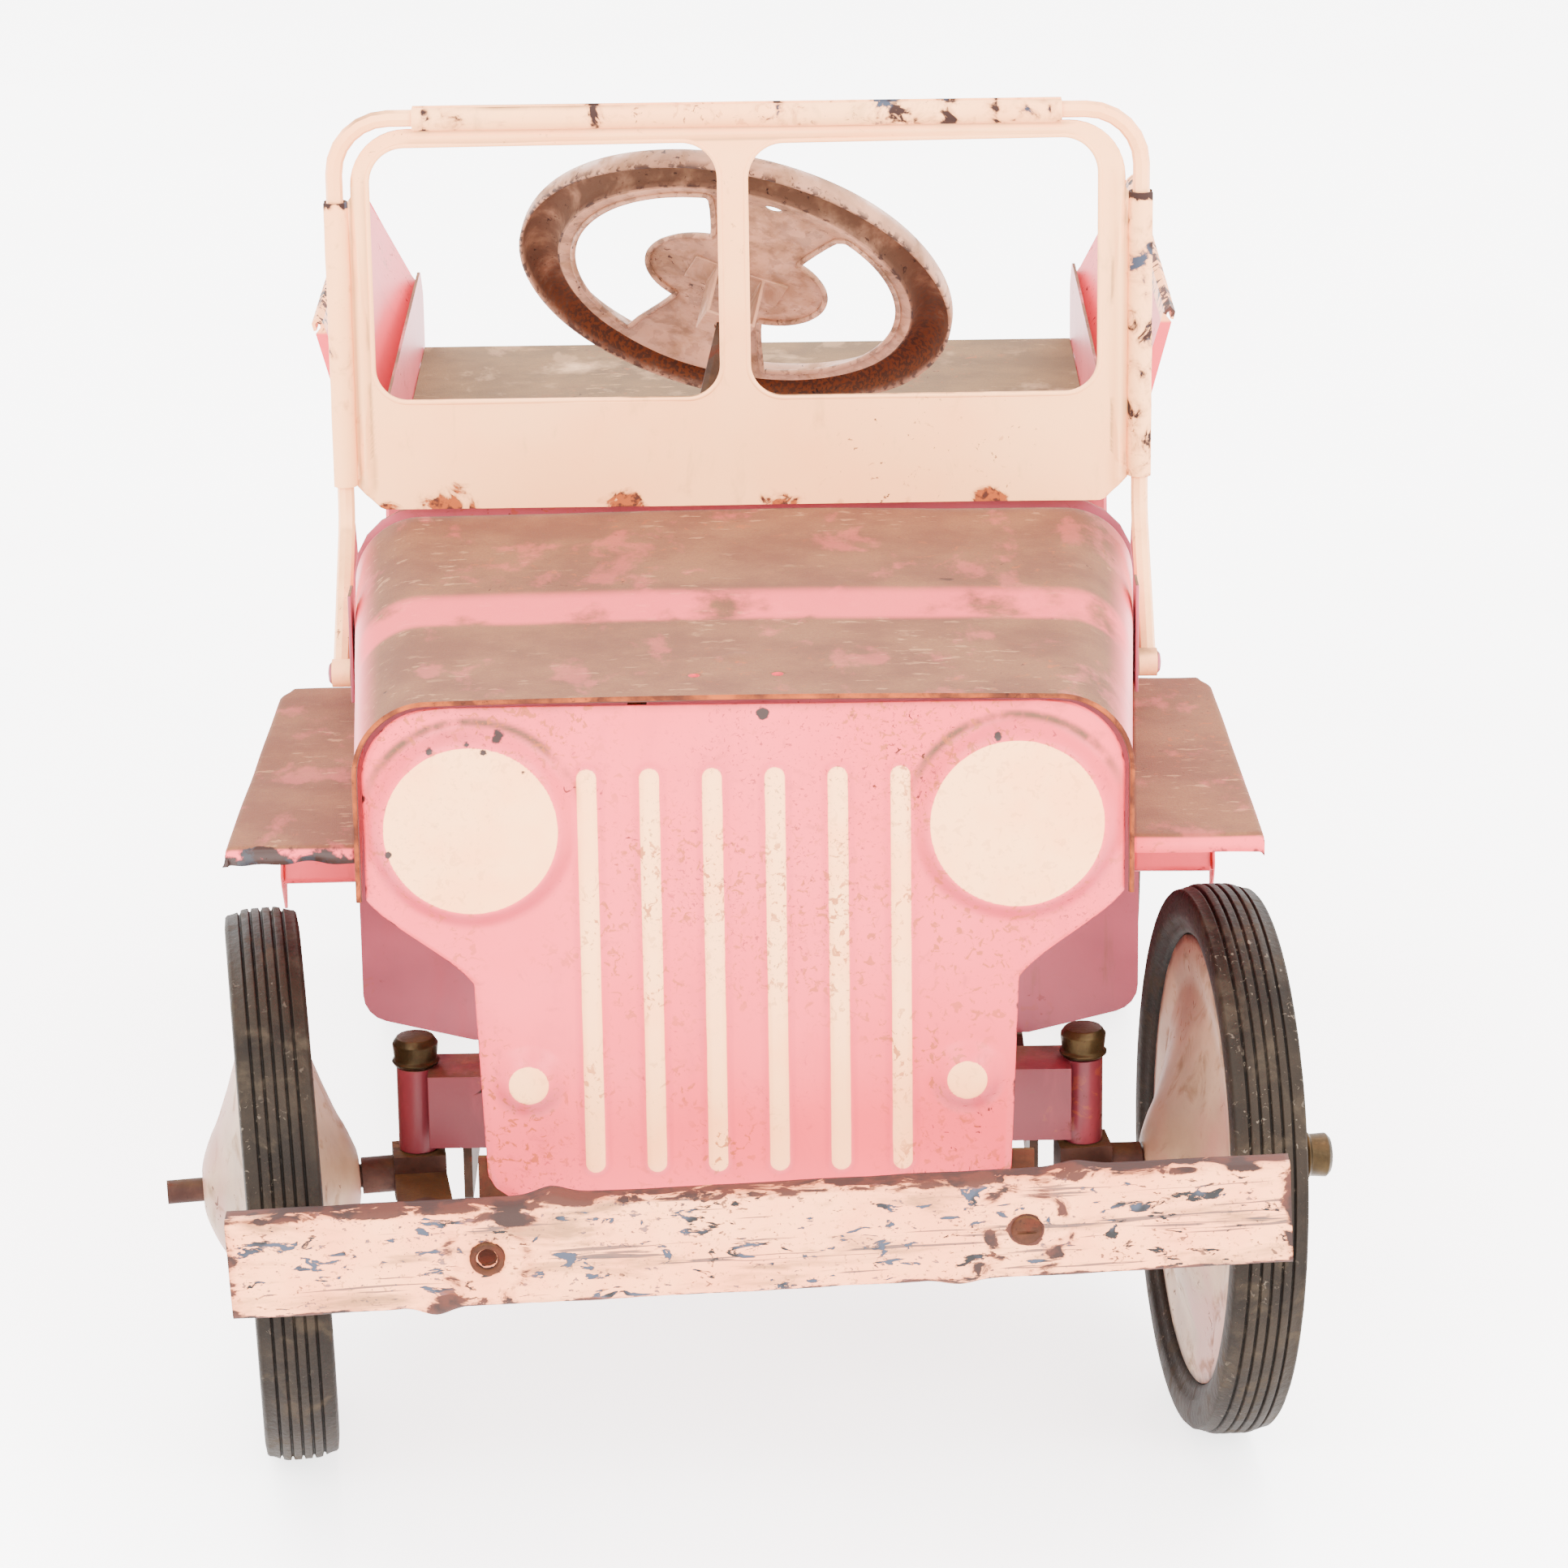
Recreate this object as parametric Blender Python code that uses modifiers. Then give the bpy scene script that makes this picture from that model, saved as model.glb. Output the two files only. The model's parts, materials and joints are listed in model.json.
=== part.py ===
"""Child's pedal car with an upright stamped grille and a fold-down windshield.

Metres, +Z up, the front of the car faces -Y.  Every piece is placed from the
front axle: the empty "car_frame" stands on the ground under it, and all
sub-parts are parented to it.
"""
import math

import bpy
import bmesh
from mathutils import Matrix, Vector

# ---------------------------------------------------------------- dimensions
FRONT_AXLE_Y = -0.2996        # puts the whole car's middle at the world origin
SHEET = 0.0016                # stamped body steel
GAP = 0.0004                  # clearance between neighbouring pieces

# wheels
TYRE_R = 0.127
TYRE_W = 0.034
TRACK_FRONT = 0.2166          # wheel centre plane
TRACK_REAR = 0.1935
WHEELBASE = 0.595
HUB_HALF = 0.036
AXLE_R = 0.0055
CAMBER = math.radians(1.75)
CAMBER_LIFT = 0.00015          # keeps the leaning front tyres on the ground

# hood and grille
HOOD_FRONT_Y = -0.098
HOOD_REAR_Y = 0.166
HOOD_FRONT_HALF = 0.1685
HOOD_REAR_HALF = 0.1850
HOOD_FRONT_Z = 0.3865
HOOD_REAR_Z = 0.3955
HOOD_BOTTOM_Z = 0.2960
HOOD_STEP_Y = (0.016, 0.044)
HOOD_HOLES = (-0.0210, 0.0155)
HOOD_HOLE_Y = -0.0660
SHOULDER_R = 0.033
GRILLE_Y = -0.0955
GRILLE_HALF = 0.1655
GRILLE_TOP_Z = 0.3835
GRILLE_CUT_Z = (0.296, 0.256)
GRILLE_LOW_HALF = 0.1195
GRILLE_BOTTOM_Z = 0.1500
HEADLIGHT_X = 0.1185
HEADLIGHT_Z = 0.3295
HEADLIGHT_R = 0.0380
LAMP_X = 0.0970
LAMP_Z = 0.2105
STRIPE_PITCH = 0.0272
STRIPE_Z = (0.167, 0.355)
STRIPE_W = 0.0085
EMBOSS = 0.0030

# fenders and firewall
FENDER_Z = 0.3150
FENDER_Y = (-0.078, 0.1515)
FENDER_OUT = 0.2280
TAIL_X = 0.2197               # pointed side flange of a fender's leg
FIREWALL_Y = 0.1525
FIREWALL_HALF = 0.1880
FIREWALL_LOW_Z = (0.148, 0.135)
DASH_Y = 0.1770

# tub
SIDE_X = 0.1880               # outer face of the body side
SIDE_BOTTOM_Z = 0.1500
SIDE_TOP_Z = 0.3780
SIDE_REAR_Y = 0.7660
DECK_Z = 0.3310
DECK_FRONT_Y = 0.5700
ARCH_R = 0.1450
ARCH_Z = 0.1270
SEAT_Z = 0.2250
SEAT_FRONT_Y = 0.3900
FLARE_Y = (0.4330, 0.7500)
FLARE_TOP = (0.2180, 0.4250)

# windshield
PIVOT_Y = 0.1000
PIVOT_Z = 0.3390
SCREEN_Y = 0.1675
SCREEN_BOTTOM_Z = 0.3990
SCREEN_TOP_Z = 0.5870
SCREEN_HALF = 0.1880
ROD_R = 0.0040

# chassis
BEAM_Z = (0.146, 0.181)
BEAM_HALF_Y = 0.0150
KINGPIN_X = 0.1530
TUBE_R = 0.0090
KINGPIN_R = 0.0055
TUBE_Z = (0.141, 0.1815)
RAIL_X = 0.1300
RAIL_Z = (0.118, 0.134)
BUMPER_Y = -0.1650
BUMPER_H = 0.0465
BUMPER_DEPTH = 0.0130
BUMPER_X = (-0.2260, 0.2345)
BUMPER_MID_Z = 0.1605
BUMPER_TILT = math.radians(2.5)
BUMPER_HOLES = (-0.1180, 0.1156)

# steering
STEER_REST = math.radians(6.5)
ARM_LENGTH = 0.0530
WHEEL_CENTRE = Vector((-0.001, 0.290, 0.4844))
COLUMN_DIR = Vector((0.208, 0.680, 0.705)).normalized()
COLUMN_R = 0.0048
COLUMN_END = 0.4960           # from the steering wheel down to the crank
CRANK_R = 0.0318
STEER_RATIO = 0.60            # knuckle turn for each turn of the column
SPOKE_TURN = math.radians(18.0)
WHEEL_RIM_R = 0.1080

# pedals
THROW = 0.0400
AXLE_Z = 0.1270
ROD_X = 0.0540
ARM_X = 0.0580
HANGER_Y = 0.2150
HANGER_Z = 0.3000
PEDAL_Z = 0.1030

SEGMENTS = 32


# ------------------------------------------------------------------- scene
def clear_scene():
    for obj in list(bpy.data.objects):
        bpy.data.objects.remove(obj, do_unlink=True)


def collection(name):
    made = bpy.data.collections.new(name)
    bpy.context.scene.collection.children.link(made)
    return made


def steel(name, colour, metallic, roughness):
    mat = bpy.data.materials.new(name)
    mat.use_nodes = True
    shader = mat.node_tree.nodes["Principled BSDF"]
    shader.inputs["Base Color"].default_value = (*colour, 1.0)
    shader.inputs["Metallic"].default_value = metallic
    shader.inputs["Roughness"].default_value = roughness
    mat.diffuse_color = (*colour, 1.0)
    return mat


# ---------------------------------------------------------------- geometry
def arc(centre, radius, start, end, steps):
    """Points on an arc, angles in degrees."""
    points = []
    for i in range(steps + 1):
        angle = math.radians(start + (end - start) * i / steps)
        points.append((centre[0] + radius * math.cos(angle),
                       centre[1] + radius * math.sin(angle)))
    return points


def circle(centre, radius, steps=16):
    return arc(centre, radius, 0.0, 360.0, steps)[:-1]


def fillet(corners, steps=4):
    """Outline from (x, y, radius) corners, each corner rounded by an arc."""
    points = []
    count = len(corners)
    for i, (x, y, radius) in enumerate(corners):
        if radius <= 0.0:
            points.append((x, y))
            continue
        corner = Vector((x, y))
        before = (Vector(corners[i - 1][:2]) - corner).normalized()
        after = (Vector(corners[(i + 1) % count][:2]) - corner).normalized()
        half = before.angle(after) / 2.0
        reach = radius / math.tan(half)
        centre = corner + (before + after).normalized() * (radius / math.sin(half))
        first = corner + before * reach - centre
        sweep = first.angle_signed(corner + after * reach - centre)
        for step in range(steps + 1):
            turned = Matrix.Rotation(-sweep * step / steps, 2) @ first
            points.append(tuple(centre + turned))
    return points


def rounded_rect(width, height, radius, centre=(0.0, 0.0), steps=3):
    x, y = width / 2.0, height / 2.0
    cx, cy = centre
    return fillet([(cx - x, cy - y, radius), (cx + x, cy - y, radius),
                   (cx + x, cy + y, radius), (cx - x, cy + y, radius)], steps)


def plane(origin, u_axis, v_axis):
    """Matrix whose X and Y are the two drawing axes of a plate."""
    u = Vector(u_axis).normalized()
    v = Vector(v_axis).normalized()
    n = u.cross(v)
    turned = Matrix((u, v, n)).transposed().to_4x4()
    return Matrix.Translation(Vector(origin)) @ turned


XZ = ((1, 0, 0), (0, 0, 1))
YZ = ((0, 1, 0), (0, 0, 1))
XY = ((1, 0, 0), (0, 1, 0))


class Car:
    """Holds the collections, materials and root empty while parts are made."""

    def __init__(self):
        self.parts = collection("pedal_car")
        self.materials = make_materials()
        self.root = self.empty("car_frame", (0.0, FRONT_AXLE_Y, 0.0), None)

    def empty(self, name, location, parent, rotation=None):
        made = bpy.data.objects.new(name, None)
        made.empty_display_size = 0.02
        self.parts.objects.link(made)
        made.parent = parent
        made.location = location
        if rotation is not None:
            made.rotation_euler = rotation
        return made

    def add(self, name, mesh, material, parent=None, matrix=None, smooth=True):
        obj = bpy.data.objects.new(name, mesh)
        self.parts.objects.link(obj)
        obj.data.materials.clear()
        obj.data.materials.append(self.materials[material])
        obj.parent = parent or self.root
        obj.matrix_local = matrix or Matrix.Identity(4)
        if smooth:
            mesh.shade_smooth()
            mesh.set_sharp_from_angle(angle=math.radians(32.0))
        return obj


def make_materials():
    return {
        "pink_paint": steel("pink_paint", (0.82, 0.39, 0.46), 0.0, 0.42),
        "cream_paint": steel("cream_paint", (0.86, 0.68, 0.57), 0.0, 0.42),
        "wheel_paint": steel("wheel_paint", (0.76, 0.66, 0.57), 0.0, 0.48),
        "brown_paint": steel("brown_paint", (0.13, 0.07, 0.05), 0.2, 0.60),
        "worn_steel": steel("worn_steel", (0.20, 0.14, 0.10), 0.8, 0.50),
        "brass_plate": steel("brass_plate", (0.28, 0.19, 0.08), 0.9, 0.38),
        "tyre_rubber": steel("tyre_rubber", (0.06, 0.05, 0.045), 0.0, 0.75),
        "pedal_rubber": steel("pedal_rubber", (0.04, 0.04, 0.04), 0.0, 0.70),
    }


def curve_mesh(name, splines, extrude, matrix, bevel=0.0, depth_3d=False):
    """Filled or bevelled curve turned into a closed mesh in the car's frame."""
    data = bpy.data.curves.new(name, "CURVE")
    data.dimensions = "3D" if depth_3d else "2D"
    if depth_3d:
        data.bevel_depth = bevel
        data.bevel_resolution = 2
        data.use_fill_caps = True
    else:
        data.fill_mode = "BOTH"
        data.extrude = extrude
    for points, closed in splines:
        spline = data.splines.new("POLY")
        spline.points.add(len(points) - 1)
        for point, place in zip(spline.points, points):
            x, y = place[0], place[1]
            z = place[2] if len(place) > 2 else 0.0
            point.co = (x, y, z, 1.0)
        spline.use_cyclic_u = closed
    obj = bpy.data.objects.new(name + "_curve", data)
    bpy.context.scene.collection.objects.link(obj)
    return clean(evaluated_mesh(obj, name), matrix)


def clean(mesh, matrix=None):
    work = bmesh.new()
    work.from_mesh(mesh)
    bmesh.ops.remove_doubles(work, verts=work.verts, dist=0.000005)
    bmesh.ops.recalc_face_normals(work, faces=work.faces)
    work.to_mesh(mesh)
    work.free()
    if matrix is not None:
        mesh.transform(matrix)
    return mesh


def plate(name, outline, thickness, matrix, holes=()):
    """Flat plate of the outline, centred on the drawing plane."""
    loops = [(outline, True)] + [(hole, True) for hole in holes]
    return curve_mesh(name, loops, thickness / 2.0, matrix)


def wire(name, path, radius, matrix=None):
    return curve_mesh(name, [(path, False)], 0.0, matrix, bevel=radius, depth_3d=True)


def turned(name, profile, matrix=None, segments=SEGMENTS):
    """Solid of revolution about X from (x, radius) points; a profile that
    starts and ends on the axis is a solid, any other profile is a closed ring."""
    on_axis = profile[0][1] < 1e-7 and profile[-1][1] < 1e-7
    work = bmesh.new()
    verts = [work.verts.new((radius, 0.0, x)) for x, radius in profile]
    for pair in zip(verts, verts[1:]):
        work.edges.new(pair)
    if not on_axis:
        work.edges.new((verts[-1], verts[0]))
    mesh = bpy.data.meshes.new(name)
    work.to_mesh(mesh)
    work.free()
    obj = bpy.data.objects.new(name + "_profile", mesh)
    bpy.context.scene.collection.objects.link(obj)
    screw = obj.modifiers.new("turn", "SCREW")
    screw.steps = segments
    screw.render_steps = segments
    screw.use_merge_vertices = True
    screw.merge_threshold = 0.000005
    made = evaluated_mesh(obj, name)
    made.transform(Matrix.Rotation(math.radians(90.0), 4, "Y"))
    return clean(made, matrix)


def evaluated_mesh(obj, name):
    """Mesh of an object with its modifiers applied; the object goes."""
    bpy.context.view_layer.update()
    graph = bpy.context.evaluated_depsgraph_get()
    made = bpy.data.meshes.new_from_object(obj.evaluated_get(graph))
    bpy.data.objects.remove(obj, do_unlink=True)
    made.name = name
    return made


def cylinder(name, radius, start, end, segments=16, centre=(0.0, 0.0)):
    """Cylinder along X between two x values, centred on a (y, z) point."""
    work = bmesh.new()
    bmesh.ops.create_cone(work, cap_ends=True, segments=segments, radius1=radius,
                          radius2=radius, depth=end - start)
    mesh = bpy.data.meshes.new(name)
    work.to_mesh(mesh)
    work.free()
    mesh.transform(Matrix.Rotation(math.radians(90.0), 4, "Y"))
    mesh.transform(Matrix.Translation(((start + end) / 2.0, centre[0], centre[1])))
    return mesh


def aim(start, direction):
    """Matrix taking +X onto the direction, starting at a point."""
    turn = Vector(direction).to_track_quat("X", "Z").to_matrix().to_4x4()
    return Matrix.Translation(Vector(start)) @ turn


def box(name, size, centre, matrix=None):
    work = bmesh.new()
    bmesh.ops.create_cube(work, size=1.0)
    mesh = bpy.data.meshes.new(name)
    work.to_mesh(mesh)
    work.free()
    mesh.transform(Matrix.Translation(Vector(centre)) @ Matrix.Diagonal((*size, 1.0)))
    if matrix is not None:
        mesh.transform(matrix)
    return mesh


def boolean(mesh, tools, operation):
    """Exact boolean of a mesh with each tool in turn, as one closed mesh."""
    base = bpy.data.objects.new("boolean_base", mesh)
    bpy.context.scene.collection.objects.link(base)
    cutters = []
    for tool in tools:
        cutter = bpy.data.objects.new("cutter", tool)
        bpy.context.scene.collection.objects.link(cutter)
        step = base.modifiers.new("cut", "BOOLEAN")
        step.operation = operation
        step.solver = "EXACT"
        step.object = cutter
        cutters.append(cutter)
    made = evaluated_mesh(base, mesh.name)
    for obj in cutters:
        bpy.data.objects.remove(obj, do_unlink=True)
    return clean(made)


def shell(name, rows, thickness):
    """Closed sheet from a grid of rows of points, thickened inwards."""
    work = bmesh.new()
    grid = [[work.verts.new(point) for point in row] for row in rows]
    for upper, lower in zip(grid, grid[1:]):
        for i in range(len(upper) - 1):
            work.faces.new((upper[i], upper[i + 1], lower[i + 1], lower[i]))
    mesh = bpy.data.meshes.new(name)
    work.to_mesh(mesh)
    work.free()
    obj = bpy.data.objects.new(name + "_sheet", mesh)
    bpy.context.scene.collection.objects.link(obj)
    solid = obj.modifiers.new("thickness", "SOLIDIFY")
    solid.thickness = thickness
    solid.offset = -1.0
    solid.use_even_offset = True
    return clean(evaluated_mesh(obj, name))


def mirror_x(mesh, name):
    made = mesh.copy()
    made.name = name
    made.transform(Matrix.Diagonal((-1.0, 1.0, 1.0, 1.0)))
    made.flip_normals()
    return made


# ---------------------------------------------------------------- body shell
def hood_row(y, half, top):
    """Cross-section of the hood, left bottom edge to right bottom edge."""
    centre = (half - SHOULDER_R, top - SHOULDER_R)
    right = arc(centre, SHOULDER_R, 90.0, 0.0, 6)
    left = [(-x, z) for x, z in reversed(right)]
    crown = [(-half * 0.3, top + 0.0012), (half * 0.3, top + 0.0012)]
    section = [(-half, HOOD_BOTTOM_Z)] + left + crown + right + [(half, HOOD_BOTTOM_Z)]
    return [(x, y, z) for x, z in section]


def hood_half(y):
    share = (y - HOOD_FRONT_Y) / (HOOD_REAR_Y - HOOD_FRONT_Y)
    return HOOD_FRONT_HALF + (HOOD_REAR_HALF - HOOD_FRONT_HALF) * share


def hood():
    stations = [(HOOD_FRONT_Y, HOOD_FRONT_Z - 0.0004), (HOOD_STEP_Y[0], HOOD_FRONT_Z),
                (HOOD_STEP_Y[1], HOOD_FRONT_Z + 0.0060), (HOOD_REAR_Y, HOOD_REAR_Z)]
    rows = [hood_row(y, hood_half(y), top) for y, top in stations]
    mesh = shell("hood", rows, SHEET)
    drills = [cylinder("drill", 0.0025, 0.37, 0.41, 12) for _ in range(2)]
    for drill, x in zip(drills, HOOD_HOLES):
        drill.transform(Matrix.Rotation(math.radians(-90.0), 4, "Y"))
        drill.transform(Matrix.Translation((x, HOOD_HOLE_Y, 0.0)))
    return boolean(mesh, drills, "DIFFERENCE")


def grille_outline():
    low, high = GRILLE_CUT_Z[1], GRILLE_CUT_Z[0]
    right = [(GRILLE_LOW_HALF - 0.004, GRILLE_BOTTOM_Z, 0.010), (GRILLE_LOW_HALF, low, 0.012),
             (GRILLE_HALF, high, 0.012), (GRILLE_HALF, GRILLE_TOP_Z, SHOULDER_R)]
    left = [(-x, z, r) for x, z, r in reversed(right)]
    return fillet(right + left, 5)


def dome(name, radius, height, centre, y):
    """Low round emboss standing out towards the front."""
    profile = [(0.0, 0.0), (0.0, radius), (height * 0.6, radius * 0.97),
               (height, radius * 0.90), (height, 0.0)]
    place = Matrix.Translation((centre[0], y, centre[1]))
    return turned(name, profile, place @ Matrix.Rotation(math.radians(-90.0), 4, "Z"), 20)


def grille_panel():
    place = plane((0.0, GRILLE_Y, 0.0), *XZ)
    mesh = plate("grille_panel", grille_outline(), SHEET, place)
    front = GRILLE_Y - SHEET * 0.3
    raised = []
    for side in (-1.0, 1.0):
        raised.append(dome("headlight", HEADLIGHT_R, EMBOSS + 0.002,
                           (side * HEADLIGHT_X, HEADLIGHT_Z), front))
        raised.append(dome("lamp", 0.0135, EMBOSS + 0.002, (side * LAMP_X, LAMP_Z), front))
    height = STRIPE_Z[1] - STRIPE_Z[0]
    for i in range(6):
        x = (i - 2.5) * STRIPE_PITCH
        outline = rounded_rect(STRIPE_W, height, STRIPE_W * 0.49, (x, sum(STRIPE_Z) / 2.0), 2)
        raised.append(plate("stripe", outline, 0.003, plane((0, front - 0.0013, 0), *XZ)))
    return boolean(mesh, raised, "UNION")


def fender(name):
    """Flat fender with a turned-down rear leg, right side."""
    def inner(y):
        return hood_half(y) + GAP
    rear_x = FENDER_OUT - 0.007
    top = [(inner(FENDER_Y[0]), FENDER_Y[0], 0.0), (FENDER_OUT, FENDER_Y[0], 0.004),
           (rear_x, FENDER_Y[1], 0.012), (inner(FENDER_Y[1]), FENDER_Y[1], 0.0)]
    mesh = plate(name, fillet(top), SHEET, plane((0, 0, FENDER_Z), *XY))
    leg_rows = []
    for y, z in ((0.1300, FENDER_Z), (0.1110, 0.268), (0.0985, 0.2365)):
        leg_rows.append([(inner(y) + 0.0008, y, z), (TAIL_X + 0.0003, y, z)])
    leg = shell("leg", leg_rows, SHEET)
    tail = plate("tail", [(0.132, 0.314), (0.0960, 0.2400), (0.1000, 0.2330), (0.1125, 0.2180),
                          (0.1165, 0.247), (0.139, 0.314)],
                 SHEET, plane((TAIL_X, 0, 0), *YZ))
    return boolean(mesh, [leg, tail], "UNION")


def firewall():
    low_out, low_in = FIREWALL_LOW_Z
    top = HOOD_REAR_Z - 0.0050
    half = HOOD_REAR_HALF - 0.0045
    right = [(0.135, low_in, 0.008), (FIREWALL_HALF, low_out, 0.014),
             (FIREWALL_HALF, HOOD_BOTTOM_Z - 0.0012, 0.0), (half, HOOD_BOTTOM_Z - 0.0012, 0.0),
             (half, top, SHOULDER_R - 0.003)]
    left = [(-x, z, r) for x, z, r in reversed(right)]
    hole = rounded_rect(0.020, 0.030, 0.009, (column_at_y(FIREWALL_Y).x, column_at_y(FIREWALL_Y).z))
    return plate("firewall", fillet(right + left, 4), SHEET,
                 plane((0, FIREWALL_Y, 0), *XZ), [hole])


def column_at_y(y):
    share = (y - WHEEL_CENTRE.y) / COLUMN_DIR.y
    return WHEEL_CENTRE + COLUMN_DIR * share


def dash_panel():
    half = HOOD_REAR_HALF + 0.0010
    top = HOOD_REAR_Z + 0.0018
    outline = fillet([(-half, 0.335, 0.010), (half, 0.335, 0.010),
                      (half, top, SHOULDER_R), (-half, top, SHOULDER_R)], 5)
    centre = column_at_y(DASH_Y)
    hole = rounded_rect(0.018, 0.026, 0.008, (centre.x, centre.z))
    face = plate("dash_panel", outline, SHEET, plane((0, DASH_Y, 0), *XZ), [hole])
    lip = box("lip", (2 * half - 0.03, 0.010, 0.0018), (0.0, DASH_Y + 0.0046, 0.3362))
    return boolean(face, [lip], "UNION")


def arch_points():
    reach = math.degrees(math.asin((ARCH_Z - SIDE_BOTTOM_Z) / ARCH_R))
    return arc((WHEELBASE, ARCH_Z), ARCH_R, -reach, 180.0 + reach, 16)


def body_side(name):
    """Flat tub side with a low door cut and a wheel arch, right side."""
    front = fillet([(0.1545, 0.300, 0.0)] + [(0.1545, SIDE_BOTTOM_Z, 0.012),
                   (0.430, SIDE_BOTTOM_Z, 0.0)], 4)[:-1]
    arch = list(reversed(arch_points()))
    upper = fillet([(SIDE_REAR_Y, SIDE_BOTTOM_Z, 0.012), (SIDE_REAR_Y, 0.3600, 0.015),
                    (0.745, SIDE_TOP_Z, 0.012), (0.440, SIDE_TOP_Z, 0.008),
                    (0.405, 0.262, 0.040), (0.262, 0.262, 0.045), (0.195, 0.388, 0.012),
                    (0.1790, 0.388, 0.0), (0.1790, 0.300, 0.0)], 5)
    outline = front + arch + upper
    return plate(name, outline, SHEET, plane((SIDE_X - SHEET / 2, 0, 0), *YZ))


def flare(name):
    """Quarter panel leaning outwards from the tub side, right side."""
    x0 = SIDE_X + GAP
    x1, z1 = FLARE_TOP
    rows = []
    for y, z0 in ((FLARE_Y[0], 0.334), (FLARE_Y[1], 0.370)):
        rows.append([(x0, y, z0), (x0 + 0.003, y, z0 + 0.004), (x1, y, z1),
                     (x1 + 0.0030, y, z1 + 0.0025), (x1 + 0.0055, y, z1 - 0.0005),
                     (x1 + 0.0045, y, z1 - 0.0045)])
    skin = shell("flare_skin", rows, SHEET)
    flanges = []
    for y, z0, step in ((FLARE_Y[0] + 0.0008, 0.334, -1), (FLARE_Y[1] - 0.0008, 0.370, 1)):
        outline = [(x0 + 0.0026, z0 + 0.002), (x0 + 0.0120, z0 + 0.006),
                   (x1 + 0.0035, z1 - 0.006), (x1 - 0.0008, z1 - 0.0006)]
        flanges.append(plate("flange", outline, SHEET, plane((0, y, 0), *XZ)))
    return boolean(skin, flanges, "UNION")


def rear_deck():
    half = SIDE_X - SHEET - GAP
    rows = []
    for y, z in ((DECK_FRONT_Y, DECK_Z - 0.012), (DECK_FRONT_Y, DECK_Z - 0.004),
                 (DECK_FRONT_Y + 0.004, DECK_Z), (SIDE_REAR_Y - 0.012, DECK_Z),
                 (SIDE_REAR_Y - 0.0035, DECK_Z - 0.0035), (SIDE_REAR_Y, DECK_Z - 0.012)):
        rows.append([(-half, y, z), (0.0, y, z), (half, y, z)])
    return shell("rear_deck", rows, SHEET)


def rear_panel():
    half = SIDE_X - SHEET - GAP
    outline = rounded_rect(2 * half, 0.166, 0.008, (0.0, SIDE_BOTTOM_Z + 0.084))
    tail = plate("rear_panel", outline, SHEET, plane((0, SIDE_REAR_Y - 0.0008, 0), *XZ))
    rib = plate("rib", rounded_rect(0.24, 0.09, 0.012, (0.0, 0.235)), 0.003,
                plane((0, SIDE_REAR_Y + 0.0002, 0), *XZ))
    return boolean(tail, [rib], "UNION")


def seat_back():
    half = 0.1690
    bottom, top = SEAT_Z + 0.003, DECK_Z - 0.0145
    rows = []
    for y, z in ((DECK_FRONT_Y + 0.002, top), (DECK_FRONT_Y - 0.004, top - 0.03),
                 (DECK_FRONT_Y - 0.012, bottom)):
        rows.append([(-half, y, z), (0.0, y, z), (half, y, z)])
    return shell("seat_back", rows, SHEET)


def seat_pan():
    """Pan with a rolled front edge and a wing at each side on the tub side."""
    half = 0.1720
    rows = []
    for y, z in ((SEAT_FRONT_Y, SEAT_Z - 0.016), (SEAT_FRONT_Y, SEAT_Z - 0.006),
                 (SEAT_FRONT_Y + 0.008, SEAT_Z), (DECK_FRONT_Y - 0.014, SEAT_Z)):
        rows.append([(-half, y, z), (0.0, y, z), (half, y, z)])
    pan = shell("seat_pan", rows, SHEET)
    outer = SIDE_X - SHEET - GAP
    z = SEAT_Z - SHEET / 2.0
    wings = []
    for side in (-1.0, 1.0):
        x = side * (half - 0.004 + outer) / 2.0
        wings.append(box("wing", (outer - half + 0.004, 0.056, SHEET), (x, 0.4290, z)))
        wings.append(box("lug", (SHEET, 0.056, 0.018), (side * (outer - 0.0008), 0.4290, z - 0.008)))
    return boolean(pan, wings, "UNION")


# ------------------------------------------------------------------ chassis
def front_axle_beam():
    """Channel across the car with a welded kingpin tube at each end."""
    low, high = BEAM_Z
    wall = 0.0025
    outer = [(-BEAM_HALF_Y, low), (-BEAM_HALF_Y, high), (BEAM_HALF_Y, high), (BEAM_HALF_Y, low),
             (BEAM_HALF_Y - wall, low), (BEAM_HALF_Y - wall, high - wall),
             (-BEAM_HALF_Y + wall, high - wall), (-BEAM_HALF_Y + wall, low)]
    channel = plate("front_axle_beam", outer, 2 * (KINGPIN_X - TUBE_R + 0.003),
                    plane((0, 0, 0), *YZ))
    tubes = []
    for side in (-1.0, 1.0):
        ring = turned("tube", [(TUBE_Z[0], KINGPIN_R + 0.0004), (TUBE_Z[0], TUBE_R),
                               (TUBE_Z[1], TUBE_R), (TUBE_Z[1], KINGPIN_R + 0.0004)],
                      Matrix.Rotation(math.radians(-90.0), 4, "Y"), 20)
        ring.transform(Matrix.Translation((side * KINGPIN_X, 0, 0)))
        tubes.append(ring)
    made = boolean(channel, tubes, "UNION")
    drop = column_at_y(-0.009)
    slot = box("slot", (0.020, 0.032, 0.070), (drop.x, -0.011, 0.181))
    return boolean(made, [slot], "DIFFERENCE")


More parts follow.
